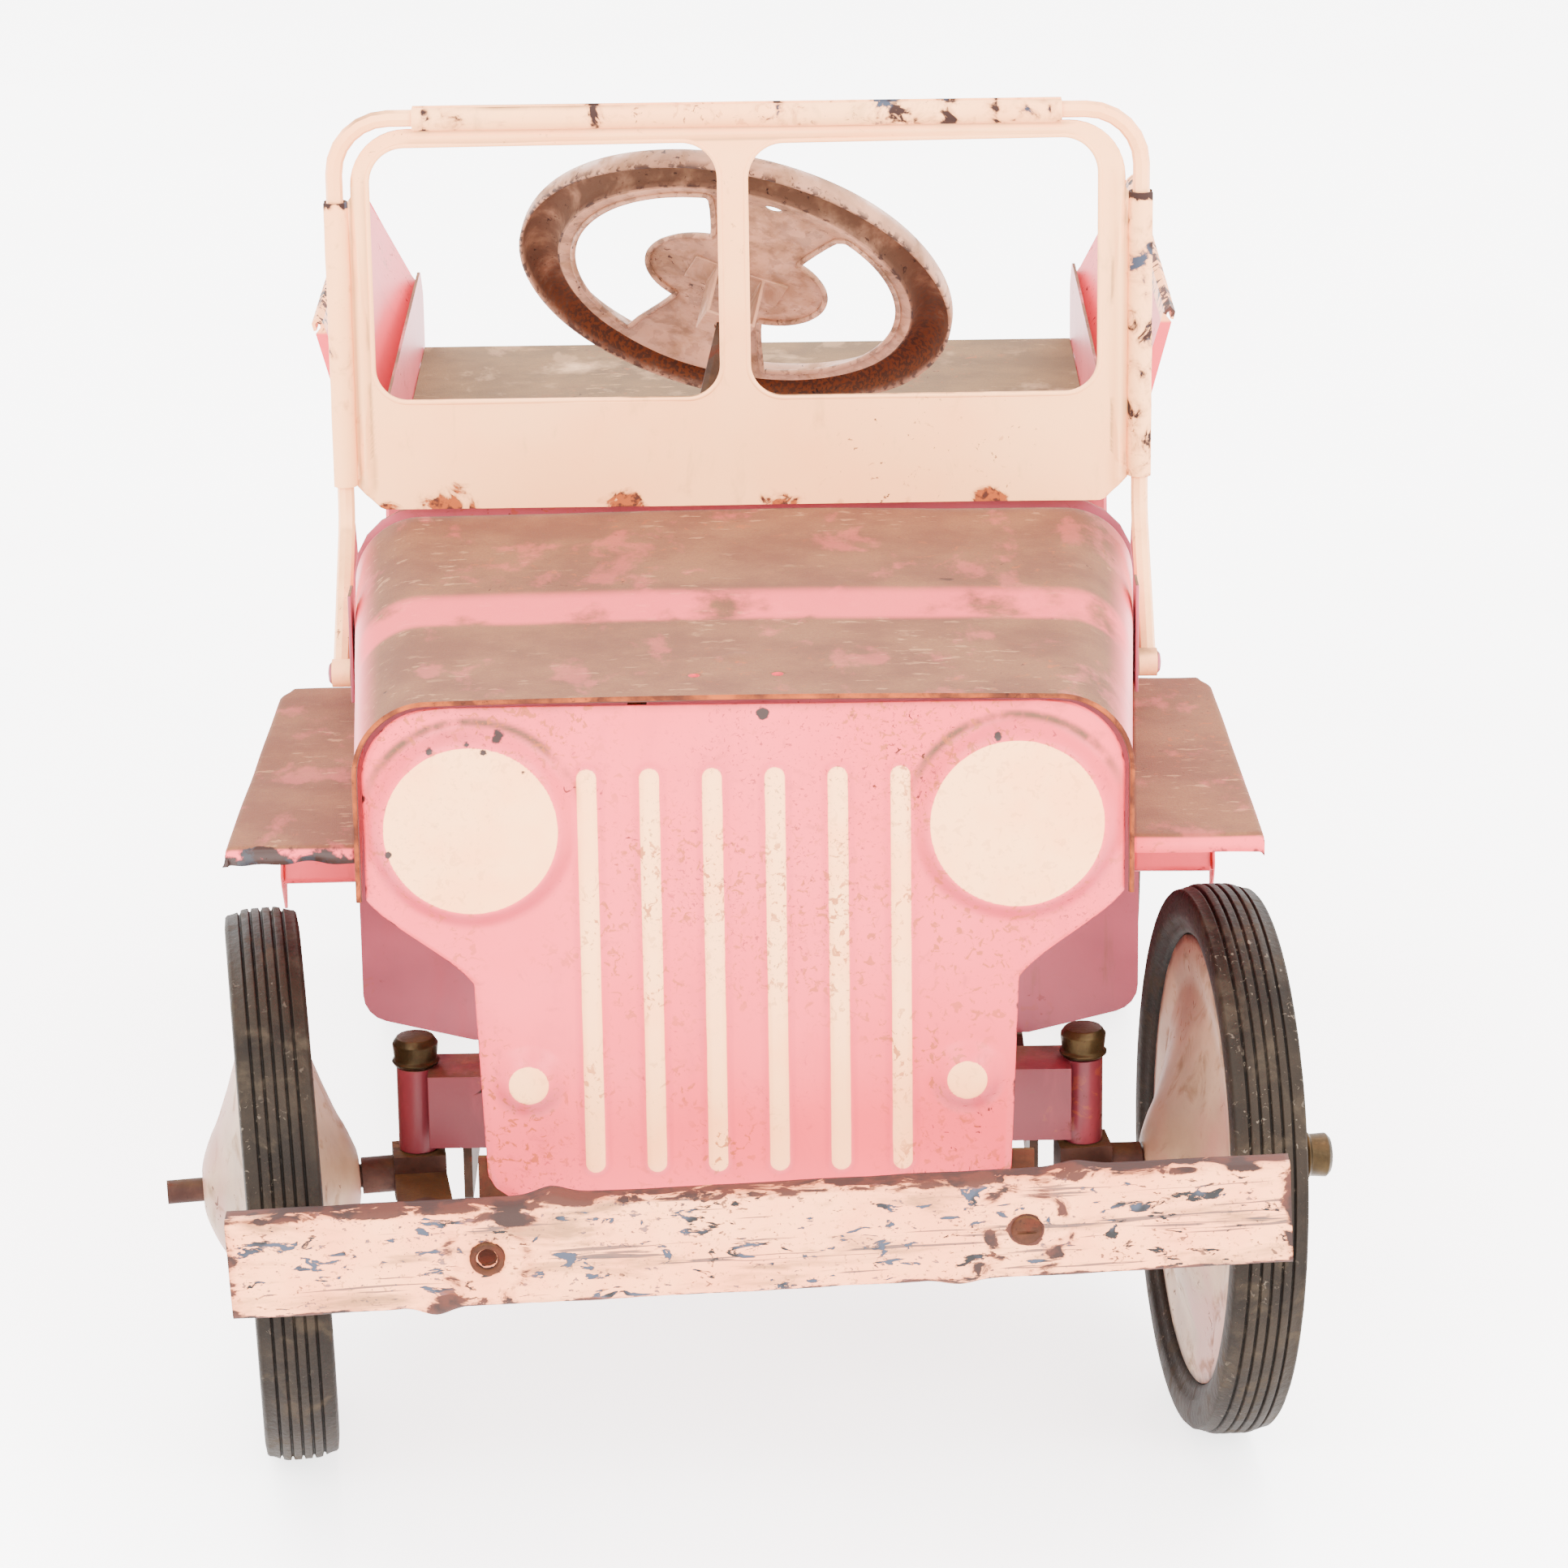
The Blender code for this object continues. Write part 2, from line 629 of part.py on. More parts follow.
def frame_rail(name):
    """Flat bar on edge from the front axle beam back to the rear axle."""
    low, high = RAIL_Z
    outline = fillet([(-0.0110, low, 0.004), (WHEELBASE - 0.030, low, 0.008),
                      (WHEELBASE - 0.024, 0.104, 0.008), (WHEELBASE + 0.024, 0.104, 0.010),
                      (WHEELBASE + 0.024, 0.150, 0.010), (WHEELBASE - 0.024, 0.150, 0.008),
                      (WHEELBASE - 0.030, high, 0.008), (0.0110, high, 0.004),
                      (0.0110, 0.1780, 0.0), (-0.0110, 0.1780, 0.0)], 3)
    hole = circle((WHEELBASE, AXLE_Z), 0.0078, 20)
    return plate(name, outline, 0.004, plane((RAIL_X, 0, 0), *YZ), [hole])


def axle_bushing(name, x):
    """Flanged plastic bush between a frame rail and the rear axle."""
    bore = AXLE_R + 0.0004
    profile = [(-0.0040, bore), (-0.0040, 0.0110), (-0.0024, 0.0110), (-0.0024, 0.0074),
               (0.0040, 0.0074), (0.0040, bore)]
    return turned(name, profile, Matrix.Translation((x, WHEELBASE, AXLE_Z)), 14)


def tub_hanger(name):
    """Angle strap from a tub side down to its frame rail, right side."""
    outer = SIDE_X - SHEET - GAP
    inner = RAIL_X - 0.002
    low = RAIL_Z[1] + GAP
    thick = 0.0022
    outline = [(outer - thick, 0.176), (outer - thick, low + thick), (inner, low + thick),
               (inner, low), (outer, low), (outer, 0.176)]
    return plate(name, outline, 0.060, plane((0, 0.360, 0), *XZ))


def bumper_matrix():
    middle = (sum(BUMPER_X) / 2.0, BUMPER_Y, BUMPER_MID_Z)
    return Matrix.Translation(middle) @ Matrix.Rotation(-BUMPER_TILT, 4, "Y")


def bumper():
    """Stamped channel open at the back, with bolt holes."""
    length = BUMPER_X[1] - BUMPER_X[0]
    half = BUMPER_H / 2.0
    wall = 0.0020
    section = [(0.0015, -half), (0.0, -half + 0.003), (0.0, half - 0.003), (0.0015, half),
               (BUMPER_DEPTH, half), (BUMPER_DEPTH, half - wall), (wall, half - wall),
               (wall, -half + wall), (BUMPER_DEPTH, -half + wall), (BUMPER_DEPTH, -half)]
    channel = plate("bumper", section, length, plane((0, 0, 0), *YZ))
    drills = []
    for x in BUMPER_HOLES:
        drill = cylinder("drill", 0.0042, -0.010, 0.010, 16)
        drill.transform(Matrix.Rotation(math.radians(90.0), 4, "Z"))
        drill.transform(Matrix.Translation((x, 0, 0)))
        drills.append(drill)
    return boolean(channel, drills, "DIFFERENCE")


def bumper_bolt():
    """Slotted round-head screw with its shank and nut."""
    profile = [(-0.0036, 0.0), (-0.0033, 0.0035), (-0.0016, 0.0062), (-0.0004, 0.0068),
               (-0.0004, 0.0032), (0.0130, 0.0032), (0.0130, 0.0)]
    screw = turned("bumper_bolt", profile, Matrix.Rotation(math.radians(90.0), 4, "Z"), 20)
    slot = box("slot", (0.0130, 0.0020, 0.0014), (0.0, -0.0036, 0.0))
    made = boolean(screw, [slot], "DIFFERENCE")
    made.transform(Matrix.Translation((BUMPER_HOLES[1], 0.0, 0.0)))
    return made


def bumper_bracket(name, x):
    """Bent strap from the foot of the grille to the back of the bumper."""
    bolt = bumper_matrix() @ Vector((x, 0.0, 0.0))
    back = BUMPER_Y + 0.0032
    heel = GRILLE_Y + SHEET / 2 + GAP
    thick = 0.0022
    low = min(bolt.z - 0.0160, GRILLE_BOTTOM_Z - thick - GAP)
    outline = [(back, low), (heel + thick, low), (heel + thick, 0.1740), (heel, 0.1740),
               (heel, low + thick), (back + thick, low + thick), (back + thick, bolt.z + 0.0100),
               (back, bolt.z + 0.0100)]
    strap = plate(name, outline, 0.018, plane((bolt.x * 0.98, 0, 0), *YZ))
    drill = cylinder("drill", 0.0040, -0.01, 0.01, 12)
    drill.transform(Matrix.Rotation(math.radians(90.0), 4, "Z"))
    drill.transform(Matrix.Translation((bolt.x, back, bolt.z)))
    return boolean(strap, [drill], "DIFFERENCE")


# ---------------------------------------------------------------- windshield
def window(x0, x1):
    return fillet([(x0, SCREEN_BOTTOM_Z + 0.0520, 0.016), (x1, SCREEN_BOTTOM_Z + 0.0520, 0.016),
                   (x1, SCREEN_TOP_Z - 0.0120, 0.018), (x0, SCREEN_TOP_Z - 0.0130, 0.018)], 4)


def sleeve_section(centre, open_side):
    """C-shaped section wrapping the rod; the slit faces away from the web."""
    inner, outer = ROD_R + 0.0004, ROD_R + 0.0018
    first = arc(centre, outer, open_side + 28.0, open_side + 332.0, 11)
    return first + list(reversed(arc(centre, inner, open_side + 28.0, open_side + 332.0, 11)))


def windshield_panel():
    edge = SCREEN_HALF - 0.0052
    top = SCREEN_TOP_Z - 0.0052
    low_cut = 0.012
    outline = fillet([(-edge + low_cut, SCREEN_BOTTOM_Z, 0.006), (edge - low_cut, SCREEN_BOTTOM_Z, 0.006),
                      (edge, SCREEN_BOTTOM_Z + low_cut, 0.004), (edge, 0.5480, 0.002),
                      (edge - 0.006, 0.5560, 0.010), (edge - 0.028, top, 0.012),
                      (-edge + 0.028, top, 0.012), (-edge + 0.006, 0.5560, 0.010),
                      (-edge, 0.5480, 0.002), (-edge, SCREEN_BOTTOM_Z + low_cut, 0.004)], 4)
    holes = [window(-0.1730, -0.0085), window(0.0035, 0.1690)]
    sheet = plate("windshield_panel", outline, SHEET, plane((0, SCREEN_Y, 0), *XZ), holes)
    wraps = []
    for side, slit in ((-1.0, 180.0), (1.0, 0.0)):
        section = sleeve_section((side * SCREEN_HALF, SCREEN_Y), slit)
        height = 0.5480 - SCREEN_BOTTOM_Z - low_cut
        middle = (0, 0, SCREEN_BOTTOM_Z + low_cut + height / 2.0)
        wraps.append(plate("sleeve", section, height, plane(middle, *XY)))
    section = sleeve_section((SCREEN_Y, SCREEN_TOP_Z), 90.0)
    wraps.append(plate("sleeve", section, 2 * (edge - 0.032), plane((0, 0, 0), *YZ)))
    ribs = []
    for x in (-0.1783, 0.1783):
        ribs.append(box("rib", (0.0026, 0.0024, 0.150), (x, SCREEN_Y - 0.0010, 0.478)))
    return boolean(sheet, wraps + ribs, "UNION")


def rod_path():
    """Centre line of the windshield frame rod, left pivot to right pivot."""
    corner = 0.026
    right = [(SCREEN_HALF, PIVOT_Y, PIVOT_Z), (SCREEN_HALF, SCREEN_Y - 0.006, 0.3890),
             (SCREEN_HALF, SCREEN_Y - 0.0015, 0.3950), (SCREEN_HALF, SCREEN_Y, 0.4030)]
    right += [(x, SCREEN_Y, z) for x, z in
              arc((SCREEN_HALF - corner, SCREEN_TOP_Z - corner), corner, 0.0, 90.0, 6)]
    left = [(-x, y, z) for x, y, z in right]
    return left + list(reversed(right))


def windshield_rod():
    rod = wire("windshield_rod", rod_path(), ROD_R)
    eyes = []
    for side in (-1.0, 1.0):
        eye = cylinder("eye", 0.0066, -0.0043, 0.0043, 16, (PIVOT_Y, PIVOT_Z))
        eye.transform(Matrix.Translation((side * SCREEN_HALF, 0, 0)))
        eyes.append(eye)
    made = boolean(rod, eyes, "UNION")
    drill = cylinder("drill", 0.0030, -0.25, 0.25, 16, (PIVOT_Y, PIVOT_Z))
    return boolean(made, [drill], "DIFFERENCE")


def pivot_bracket(name):
    """Upright strap on the hood side with the stud that the rod turns on."""
    x = hood_half(PIVOT_Y) + 0.0016
    strap = box(name, (SHEET, 0.018, 0.052), (x, PIVOT_Y, PIVOT_Z + 0.014))
    profile = [(x, 0.0), (x, 0.0026), (SCREEN_HALF + 0.0044, 0.0026),
               (SCREEN_HALF + 0.0044, 0.0055), (SCREEN_HALF + 0.0058, 0.0040),
               (SCREEN_HALF + 0.0064, 0.0)]
    stud = turned("stud", profile, Matrix.Translation((0, PIVOT_Y, PIVOT_Z)), 16)
    return boolean(strap, [stud], "UNION")


# ------------------------------------------------------------------ steering
def knuckle_matrix(side):
    """Frame of a knuckle at rest: origin on the kingpin at axle height."""
    place = Matrix.Translation((side * KINGPIN_X, 0.0, AXLE_Z + CAMBER_LIFT))
    return place @ Matrix.Rotation(STEER_REST, 4, "Z")


def wheel_matrix(side):
    """Frame of a front wheel inside its knuckle; local +X points outwards."""
    place = Matrix.Translation((side * (TRACK_FRONT - KINGPIN_X), 0.0, 0.0))
    lean = Matrix.Rotation(side * CAMBER, 4, "Y")
    flip = Matrix.Rotation(math.pi if side < 0 else 0.0, 4, "Z")
    return place @ lean @ flip


def knuckle(name, side):
    """Flat steering knuckle with its kingpin, stub axle and steering arm."""
    pin = wire("pin", [(0, 0, -0.004), (0, 0, 0.0680)], KINGPIN_R - 0.0002)
    hub = TRACK_FRONT - KINGPIN_X
    end = HUB_HALF + (0.0165 if side < 0 else 0.0150)
    stub = cylinder("stub", AXLE_R, -hub, end, 20)
    stub.transform(wheel_matrix(side))
    block = box("block", (0.024, 0.021, 0.0210), (0.0, 0.0, 0.0027))
    shoulder = cylinder("shoulder", 0.0085, -hub + 0.010, -HUB_HALF - 0.0010, 20)
    shoulder.transform(wheel_matrix(side))
    outline = fillet([(-0.0115, 0.010, 0.004), (-0.0130, -ARM_LENGTH - 0.010, 0.009),
                      (0.0130, -ARM_LENGTH - 0.010, 0.009), (0.0115, 0.010, 0.004)], 4)
    hole = circle((0.0, -ARM_LENGTH), 0.0042, 16)
    arm = plate("arm", outline, 0.0040, plane((0, 0, 0.0030), *XY), [hole])
    made = boolean(block, [arm, stub, shoulder, pin], "UNION")
    made.name = name
    return made


def kingpin_cap():
    """Domed push cap on top of a kingpin."""
    bore = KINGPIN_R + 0.0002
    profile = [(0.0684, 0.0), (0.0684, bore), (0.0552, bore), (0.0552, 0.0100),
               (0.0570, 0.0112), (0.0582, 0.0098), (0.0655, 0.0106), (0.0685, 0.0086),
               (0.0695, 0.0)]
    return turned("kingpin_cap", profile, Matrix.Rotation(math.radians(-90.0), 4, "Y"), 16)


def crank_axes():
    """Column direction, crank direction at rest and the bend at its foot."""
    forward_up = Vector((1.0, 0.0, 0.0)).cross(COLUMN_DIR).normalized()
    turned_by = Matrix.Rotation(STEER_REST / STEER_RATIO, 3, COLUMN_DIR)
    foot = WHEEL_CENTRE - COLUMN_DIR * COLUMN_END
    return forward_up, turned_by @ forward_up, foot


def steering_column():
    """Bent rod: straight column, crank and crank pin."""
    _, crank, foot = crank_axes()
    pin = foot + crank * CRANK_R
    path = [WHEEL_CENTRE - COLUMN_DIR * 0.002, foot, pin, pin - COLUMN_DIR * 0.024]
    rod = wire("steering_column", [tuple(point - WHEEL_CENTRE) for point in path], COLUMN_R)
    return rod


def tie_rod():
    """Flat bar between the steering arms, with a slotted tab for the crank."""
    span = 2.0 * KINGPIN_X
    bar_z = -0.0035
    bar = plate("tie_rod", rounded_rect(span + 0.014, 0.012, 0.0058, (span / 2.0, 0.0), 5),
                0.0030, plane((0, 0, bar_z), *XY))
    forward_up, _, foot = crank_axes()
    across = COLUMN_DIR.cross(forward_up)
    tip = knuckle_matrix(-1.0) @ Vector((0.0, -ARM_LENGTH, 0.0))
    shift = Vector((ARM_LENGTH * math.sin(STEER_REST), 0.0, 0.0))
    slot = foot + forward_up * CRANK_R + shift - COLUMN_DIR * 0.013 - tip
    reach = (slot.z - bar_z) / forward_up.z
    outline = rounded_rect(0.022, reach + 0.014, 0.004, (0.0, -reach / 2.0 + 0.007))
    hole = rounded_rect(0.0125, 0.0200, 0.0060, (0.0, -0.0020))
    tab = plate("tab", outline, 0.0030, plane(slot, across, forward_up), [hole])
    bits = [tab]
    for x in (0.0, span):
        shank = cylinder("shank", 0.0037, bar_z, 0.0058, 10)
        head = cylinder("head", 0.0064, 0.0054, 0.0080, 12)
        for piece in (shank, head):
            piece.transform(Matrix.Rotation(math.radians(-90.0), 4, "Y"))
            piece.transform(Matrix.Translation((x, 0, 0)))
            bits.append(piece)
    made = boolean(bar, bits, "UNION")
    made.name = "tie_rod"
    return made


def wheel_face():
    """Matrix with +X up the column and +Z towards the front of the rim."""
    forward_up, _, _ = crank_axes()
    across = forward_up.cross(COLUMN_DIR)
    turned_to = Matrix((COLUMN_DIR, across, forward_up)).transposed().to_4x4()
    return turned_to


def steering_wheel():
    """Stamped wheel: channel rim, one broad spoke and two kidney openings."""
    rim_r = WHEEL_RIM_R
    section = [(-0.0110, rim_r), (-0.0025, rim_r - 0.0006), (0.0026, rim_r - 0.0070),
               (0.0026, rim_r - 0.0130), (-0.0030, rim_r - 0.0198), (-0.0095, rim_r - 0.0205),
               (-0.0095, rim_r - 0.0189), (-0.0036, rim_r - 0.0183), (0.0010, rim_r - 0.0125),
               (0.0010, rim_r - 0.0075), (-0.0034, rim_r - 0.0022), (-0.0110, rim_r - 0.0016)]
    rim = turned("steering_wheel", section, segments=28)
    disc = circle((0.0, 0.0), rim_r - 0.0194, 28)
    right = arc((0.0, 0.0), 0.0815, -68.0, 66.0, 12) + arc((0.012, 0.0), 0.033, 72.0, -72.0, 8)
    left = [(-y, -z) for y, z in right]
    small = circle((0.004, 0.0745), 0.0040, 12)
    bore = circle((0.0, 0.0), COLUMN_R + 0.0003, 12)
    spoke = plate("spoke", disc, SHEET, plane((-0.0050, 0, 0), *YZ), [left, right, small, bore])
    spoke.transform(Matrix.Rotation(SPOKE_TURN, 4, "X"))
    made = boolean(rim, [spoke], "UNION")
    made.name = "steering_wheel"
    made.transform(wheel_face())
    return made


def steering_wheel_clip():
    """Folded strap under the spoke that grips the column."""
    low, high = -0.0340, -0.0062
    wide, wall = 0.0125, 0.0016
    legs = [box("leg", (high - low, wall, 0.019), ((low + high) / 2.0, side * (wide - wall / 2), 0.0))
            for side in (-1.0, 1.0)]
    top = box("top", (wall, 0.048, 0.021), (high - wall / 2, 0.0, 0.0))
    bottom = box("bottom", (wall, 2 * wide, 0.019), (low + wall / 2, 0.0, 0.0))
    made = boolean(top, legs + [bottom], "UNION")
    drill = cylinder("drill", COLUMN_R + 0.0004, -0.06, 0.01, 16)
    made = boolean(made, [drill], "DIFFERENCE")
    made.name = "steering_wheel_clip"
    made.transform(Matrix.Rotation(SPOKE_TURN, 4, "X"))
    made.transform(wheel_face())
    return made


def column_bearing():
    """Pressed collar on the dash around the column."""
    centre = column_at_y(DASH_Y + 0.012)
    inner = COLUMN_R + 0.0005
    profile = [(-0.0045, inner), (-0.0045, 0.0100), (0.0045, 0.0100), (0.0045, inner)]
    return turned("column_bearing", profile, aim(centre, COLUMN_DIR), 20)


# -------------------------------------------------------------------- wheels
def tyre():
    """Solid rubber tyre; local X is the wheel's axis."""
    half = TYRE_W / 2.0
    right = [(half * 0.40, TYRE_R), (half * 0.86, TYRE_R - 0.0022), (half, TYRE_R - 0.0080),
             (half, TYRE_R - 0.0160), (half * 0.72, TYRE_R - 0.0225)]
    left = [(-x, r) for x, r in right]
    return turned("tyre", list(reversed(left)) + right, segments=24)


def disc():
    """Two dished pressings joined at the rim, open inside at the bore."""
    bore = AXLE_R + 0.0004
    wall = 0.0016
    rim = TYRE_R - 0.0230
    outer = [(HUB_HALF, bore), (HUB_HALF, 0.0120), (0.0285, 0.0290), (0.0115, 0.0780),
             (0.0112, rim)]
    inner = [(x - wall, r) for x, r in outer[:-1]] + [(0.0105 - wall, rim - wall)]
    inner[0] = (HUB_HALF - wall, bore)
    ring = outer + [(-x, r) for x, r in reversed(outer)]
    ring += [(-x, r) for x, r in inner] + list(reversed(inner))
    return turned("disc", ring, segments=24)


def axle_cap(start):
    """Domed push cap over the end of an axle; local +X points outwards."""
    bore = AXLE_R + 0.0002
    profile = [(start + 0.0122, 0.0), (start + 0.0122, bore), (start, bore), (start, 0.0105),
               (start + 0.0015, 0.0115), (start + 0.0028, 0.0098), (start + 0.0106, 0.0103),
               (start + 0.0126, 0.0080), (start + 0.0132, 0.0)]
    return turned("axle_cap", profile, segments=16)


def washer(start):
    """Washer between hub and cap."""
    bore = AXLE_R + 0.0004
    profile = [(start, bore), (start, 0.0135), (start + 0.0014, 0.0135), (start + 0.0022, 0.0115),
               (start + 0.0030, 0.0110), (start + 0.0030, bore)]
    return turned("front_washer", profile, segments=20)


# -------------------------------------------------------------------- drive
def crank_axle():
    """Rear axle bent into two opposite throws; local X is its axis."""
    half = 0.2395
    web = 0.0200
    path = [(-half, 0.0)]
    for x, z in ((-ROD_X, -THROW), (ROD_X, THROW)):
        path += [(x - web, 0.0), (x - web + 0.004, z), (x + web - 0.004, z), (x + web, 0.0)]
    path.append((half, 0.0))
    return wire("rear_axle_crank", [(x, 0.0, z) for x, z in path], AXLE_R - 0.0004)


def push_rod(name, side):
    """Flat bar from a crank throw to a pedal arm, origin on the throw."""
    rise = -side * THROW
    front = Vector((HANGER_Y - WHEELBASE, rise))
    aim_angle = math.degrees(math.atan2(front.y, front.x))
    outline = arc((0.0, 0.0), 0.0125, aim_angle + 40.0, aim_angle + 320.0, 14)
    outline += arc(front, 0.0080, aim_angle - 90.0, aim_angle + 90.0, 8)
    bar = plate(name, outline, 0.0030, plane((0, 0, 0), *YZ), [circle((0.0, 0.0), 0.0078, 16)])
    collar = turned("collar", [(-0.0080, AXLE_R + 0.0002), (-0.0080, 0.0100),
                               (0.0080, 0.0100), (0.0080, AXLE_R + 0.0002)], segments=16)
    boss = cylinder("boss", 0.0050, 0.0, 0.0027, 14, tuple(front))
    if side < 0:
        boss = mirror_x(boss, "boss")
    made = boolean(bar, [collar, boss], "UNION")
    made.name = name
    return made


def pedal_hanger():
    """Cross rod that carries the pedal arms, riveted over at the sides."""
    inner = SIDE_X - SHEET - GAP
    rod = cylinder("pedal_hanger", 0.0050, -inner, inner, 18, (HANGER_Y, HANGER_Z))
    flanges = []
    for side in (-1.0, 1.0):
        flange = cylinder("flange", 0.0110, inner - 0.0020, inner, 18, (HANGER_Y, HANGER_Z))
        flanges.append(flange if side > 0 else mirror_x(flange, "flange"))
    return boolean(rod, flanges, "UNION")


def pedal_arm(name, side):
    """Flat arm hanging from the cross rod, origin on the rod's axis."""
    drop = PEDAL_Z - HANGER_Z
    pin_z = AXLE_Z - HANGER_Z
    outline = arc((0.0, 0.0), 0.0110, 0.0, 180.0, 10)
    outline += arc((0.0, drop), 0.0090, 180.0, 360.0, 10)
    bar = plate(name, outline, 0.0030, plane((0, 0, 0), *YZ), [circle((0, 0), 0.0072, 16)])
    hub = turned("hub", [(-0.0070, 0.0054), (-0.0070, 0.0090), (0.0090, 0.0090),
                         (0.0090, 0.0054)], segments=16)
    boss = cylinder("boss", 0.0050, -0.0024, 0.0, 14, (0.0, pin_z))
    pin = cylinder("pin", 0.0035, 0.0, 0.0600, 14, (0.0, drop))
    tip = cylinder("tip", 0.0055, 0.0588, 0.0620, 14, (0.0, drop))
    bits = [hub, boss, pin, tip]
    if side < 0:
        bits = [mirror_x(bit, "bit") for bit in bits]
    made = boolean(bar, bits, "UNION")
    made.name = name
    return made


def pedal_pad(name, side):
    """Ribbed rubber block turning on the arm's pin."""
    outline = rounded_rect(0.036, 0.015, 0.004)
    pad = plate(name, outline, 0.0540, plane((0.0310, 0, 0), *YZ), [circle((0, 0), 0.0039, 14)])
    grooves = []
    for step in range(5):
        for z in (-0.0082, 0.0082):
            grooves.append(box("groove", (0.0030, 0.040, 0.0040), (0.012 + 0.0095 * step, 0.0, z)))
    made = boolean(pad, grooves, "DIFFERENCE")
    made.name = name
    return mirror_x(made, name) if side < 0 else made


# ------------------------------------------------------------------ assembly
def add_pair(car, name, make, material):
    """A right-hand piece and its mirror image."""
    right = make(name + "_right")
    car.add(name + "_left", mirror_x(right, name + "_left"), material)
    car.add(name + "_right", right, material)


def build_shell(car):
    car.add("hood", hood(), "pink_paint")
    car.add("grille_panel", grille_panel(), "pink_paint")
    car.add("firewall", firewall(), "pink_paint")
    car.add("dash_panel", dash_panel(), "pink_paint")
    car.add("rear_deck", rear_deck(), "pink_paint")
    car.add("rear_panel", rear_panel(), "pink_paint")
    car.add("seat_back", seat_back(), "pink_paint")
    car.add("seat_pan", seat_pan(), "pink_paint")
    add_pair(car, "fender", fender, "pink_paint")
    add_pair(car, "body_side", body_side, "pink_paint")
    add_pair(car, "quarter_flare", flare, "pink_paint")
    add_pair(car, "pivot_bracket", pivot_bracket, "pink_paint")


def build_chassis(car):
    car.add("front_axle_beam", front_axle_beam(), "pink_paint")
    add_pair(car, "frame_rail", frame_rail, "worn_steel")
    add_pair(car, "tub_hanger", tub_hanger, "worn_steel")
    car.add("bumper", bumper(), "cream_paint", matrix=bumper_matrix())
    car.add("bumper_bolt", bumper_bolt(), "worn_steel", matrix=bumper_matrix())
    for word, side, x in (("left", -1.0, BUMPER_HOLES[0]), ("right", 1.0, BUMPER_HOLES[1])):
        bush = axle_bushing("axle_bushing_" + word, side * RAIL_X)
        car.add("axle_bushing_" + word, bush, "worn_steel")
        car.add("bumper_bracket_" + word, bumper_bracket("bumper_bracket", x), "worn_steel")
    car.add("pedal_hanger", pedal_hanger(), "worn_steel")
    car.add("column_bearing", column_bearing(), "worn_steel")


def build_windshield(car):
    hinge = car.empty("windshield_hinge", (0.0, PIVOT_Y, PIVOT_Z), car.root)
    back = Matrix.Translation((0.0, -PIVOT_Y, -PIVOT_Z))
    car.add("windshield_panel", windshield_panel(), "cream_paint", hinge, back)
    car.add("windshield_rod", windshield_rod(), "cream_paint", hinge, back)


def build_steering(car):
    hub = car.empty("steering_hub", WHEEL_CENTRE, car.root)
    car.add("steering_column", steering_column(), "worn_steel", hub)
    car.add("steering_wheel", steering_wheel(), "cream_paint", hub)
    car.add("steering_wheel_clip", steering_wheel_clip(), "cream_paint", hub)
    for word, side in (("left", -1.0), ("right", 1.0)):
        pivot = car.empty("kingpin_" + word, (0, 0, 0), car.root)
        pivot.matrix_local = knuckle_matrix(side)
        car.add("knuckle_" + word, knuckle("knuckle_" + word, side), "brown_paint", pivot)
        car.add("kingpin_cap_" + word, kingpin_cap(), "brass_plate", pivot)
        spin = car.empty("front_spin_" + word, (0, 0, 0), pivot)
        spin.matrix_local = wheel_matrix(side)
        car.add("front_tyre_" + word, tyre(), "tyre_rubber", spin)
        car.add("front_disc_" + word, disc(), "wheel_paint", spin)
        if side > 0:
            car.add("front_axle_cap", axle_cap(HUB_HALF + 0.0038), "brass_plate", spin)
            car.add("front_washer", washer(HUB_HALF + GAP), "worn_steel", spin)
    tip = knuckle_matrix(-1.0) @ Vector((0.0, -ARM_LENGTH, 0.0))
    end = car.empty("tie_rod_pivot", tip, car.root)
    car.add("tie_rod", tie_rod(), "brown_paint", end)


def build_drive(car):
    axle = car.empty("rear_axle", (0.0, WHEELBASE, AXLE_Z), car.root)
    car.add("rear_axle_crank", crank_axle(), "worn_steel", axle)
    for word, side in (("left", -1.0), ("right", 1.0)):
        spin = car.empty("rear_spin_" + word, (side * TRACK_REAR, 0, 0), axle)
        if side < 0:
            spin.rotation_euler = (0.0, 0.0, math.pi)
        car.add("rear_tyre_" + word, tyre(), "tyre_rubber", spin)
        car.add("rear_disc_" + word, disc(), "wheel_paint", spin)
        car.add("rear_axle_cap_" + word, axle_cap(HUB_HALF + GAP), "brass_plate", spin)
        throw = car.empty("throw_" + word, (side * ROD_X, 0.0, side * THROW), axle)
        car.add("push_rod_" + word, push_rod("push_rod_" + word, side), "worn_steel", throw)
        swing = car.empty("pedal_swing_" + word, (side * (ARM_X + 0.0015), HANGER_Y, HANGER_Z), car.root)
        car.add("pedal_arm_" + word, pedal_arm("pedal_arm_" + word, side), "worn_steel", swing)
        tread = car.empty("pedal_spin_" + word, (0.0, 0.0, PEDAL_Z - HANGER_Z), swing)
        car.add("pedal_pad_" + word, pedal_pad("pedal_pad_" + word, side), "pedal_rubber", tread)


def main():
    clear_scene()
    car = Car()
    build_shell(car)
    build_chassis(car)
    build_windshield(car)
    build_steering(car)
    build_drive(car)
    for view_layer in bpy.context.scene.view_layers:
        view_layer.update()


main()
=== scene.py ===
import json
import math
import bpy
import bmesh
from mathutils import Matrix, Vector, noise


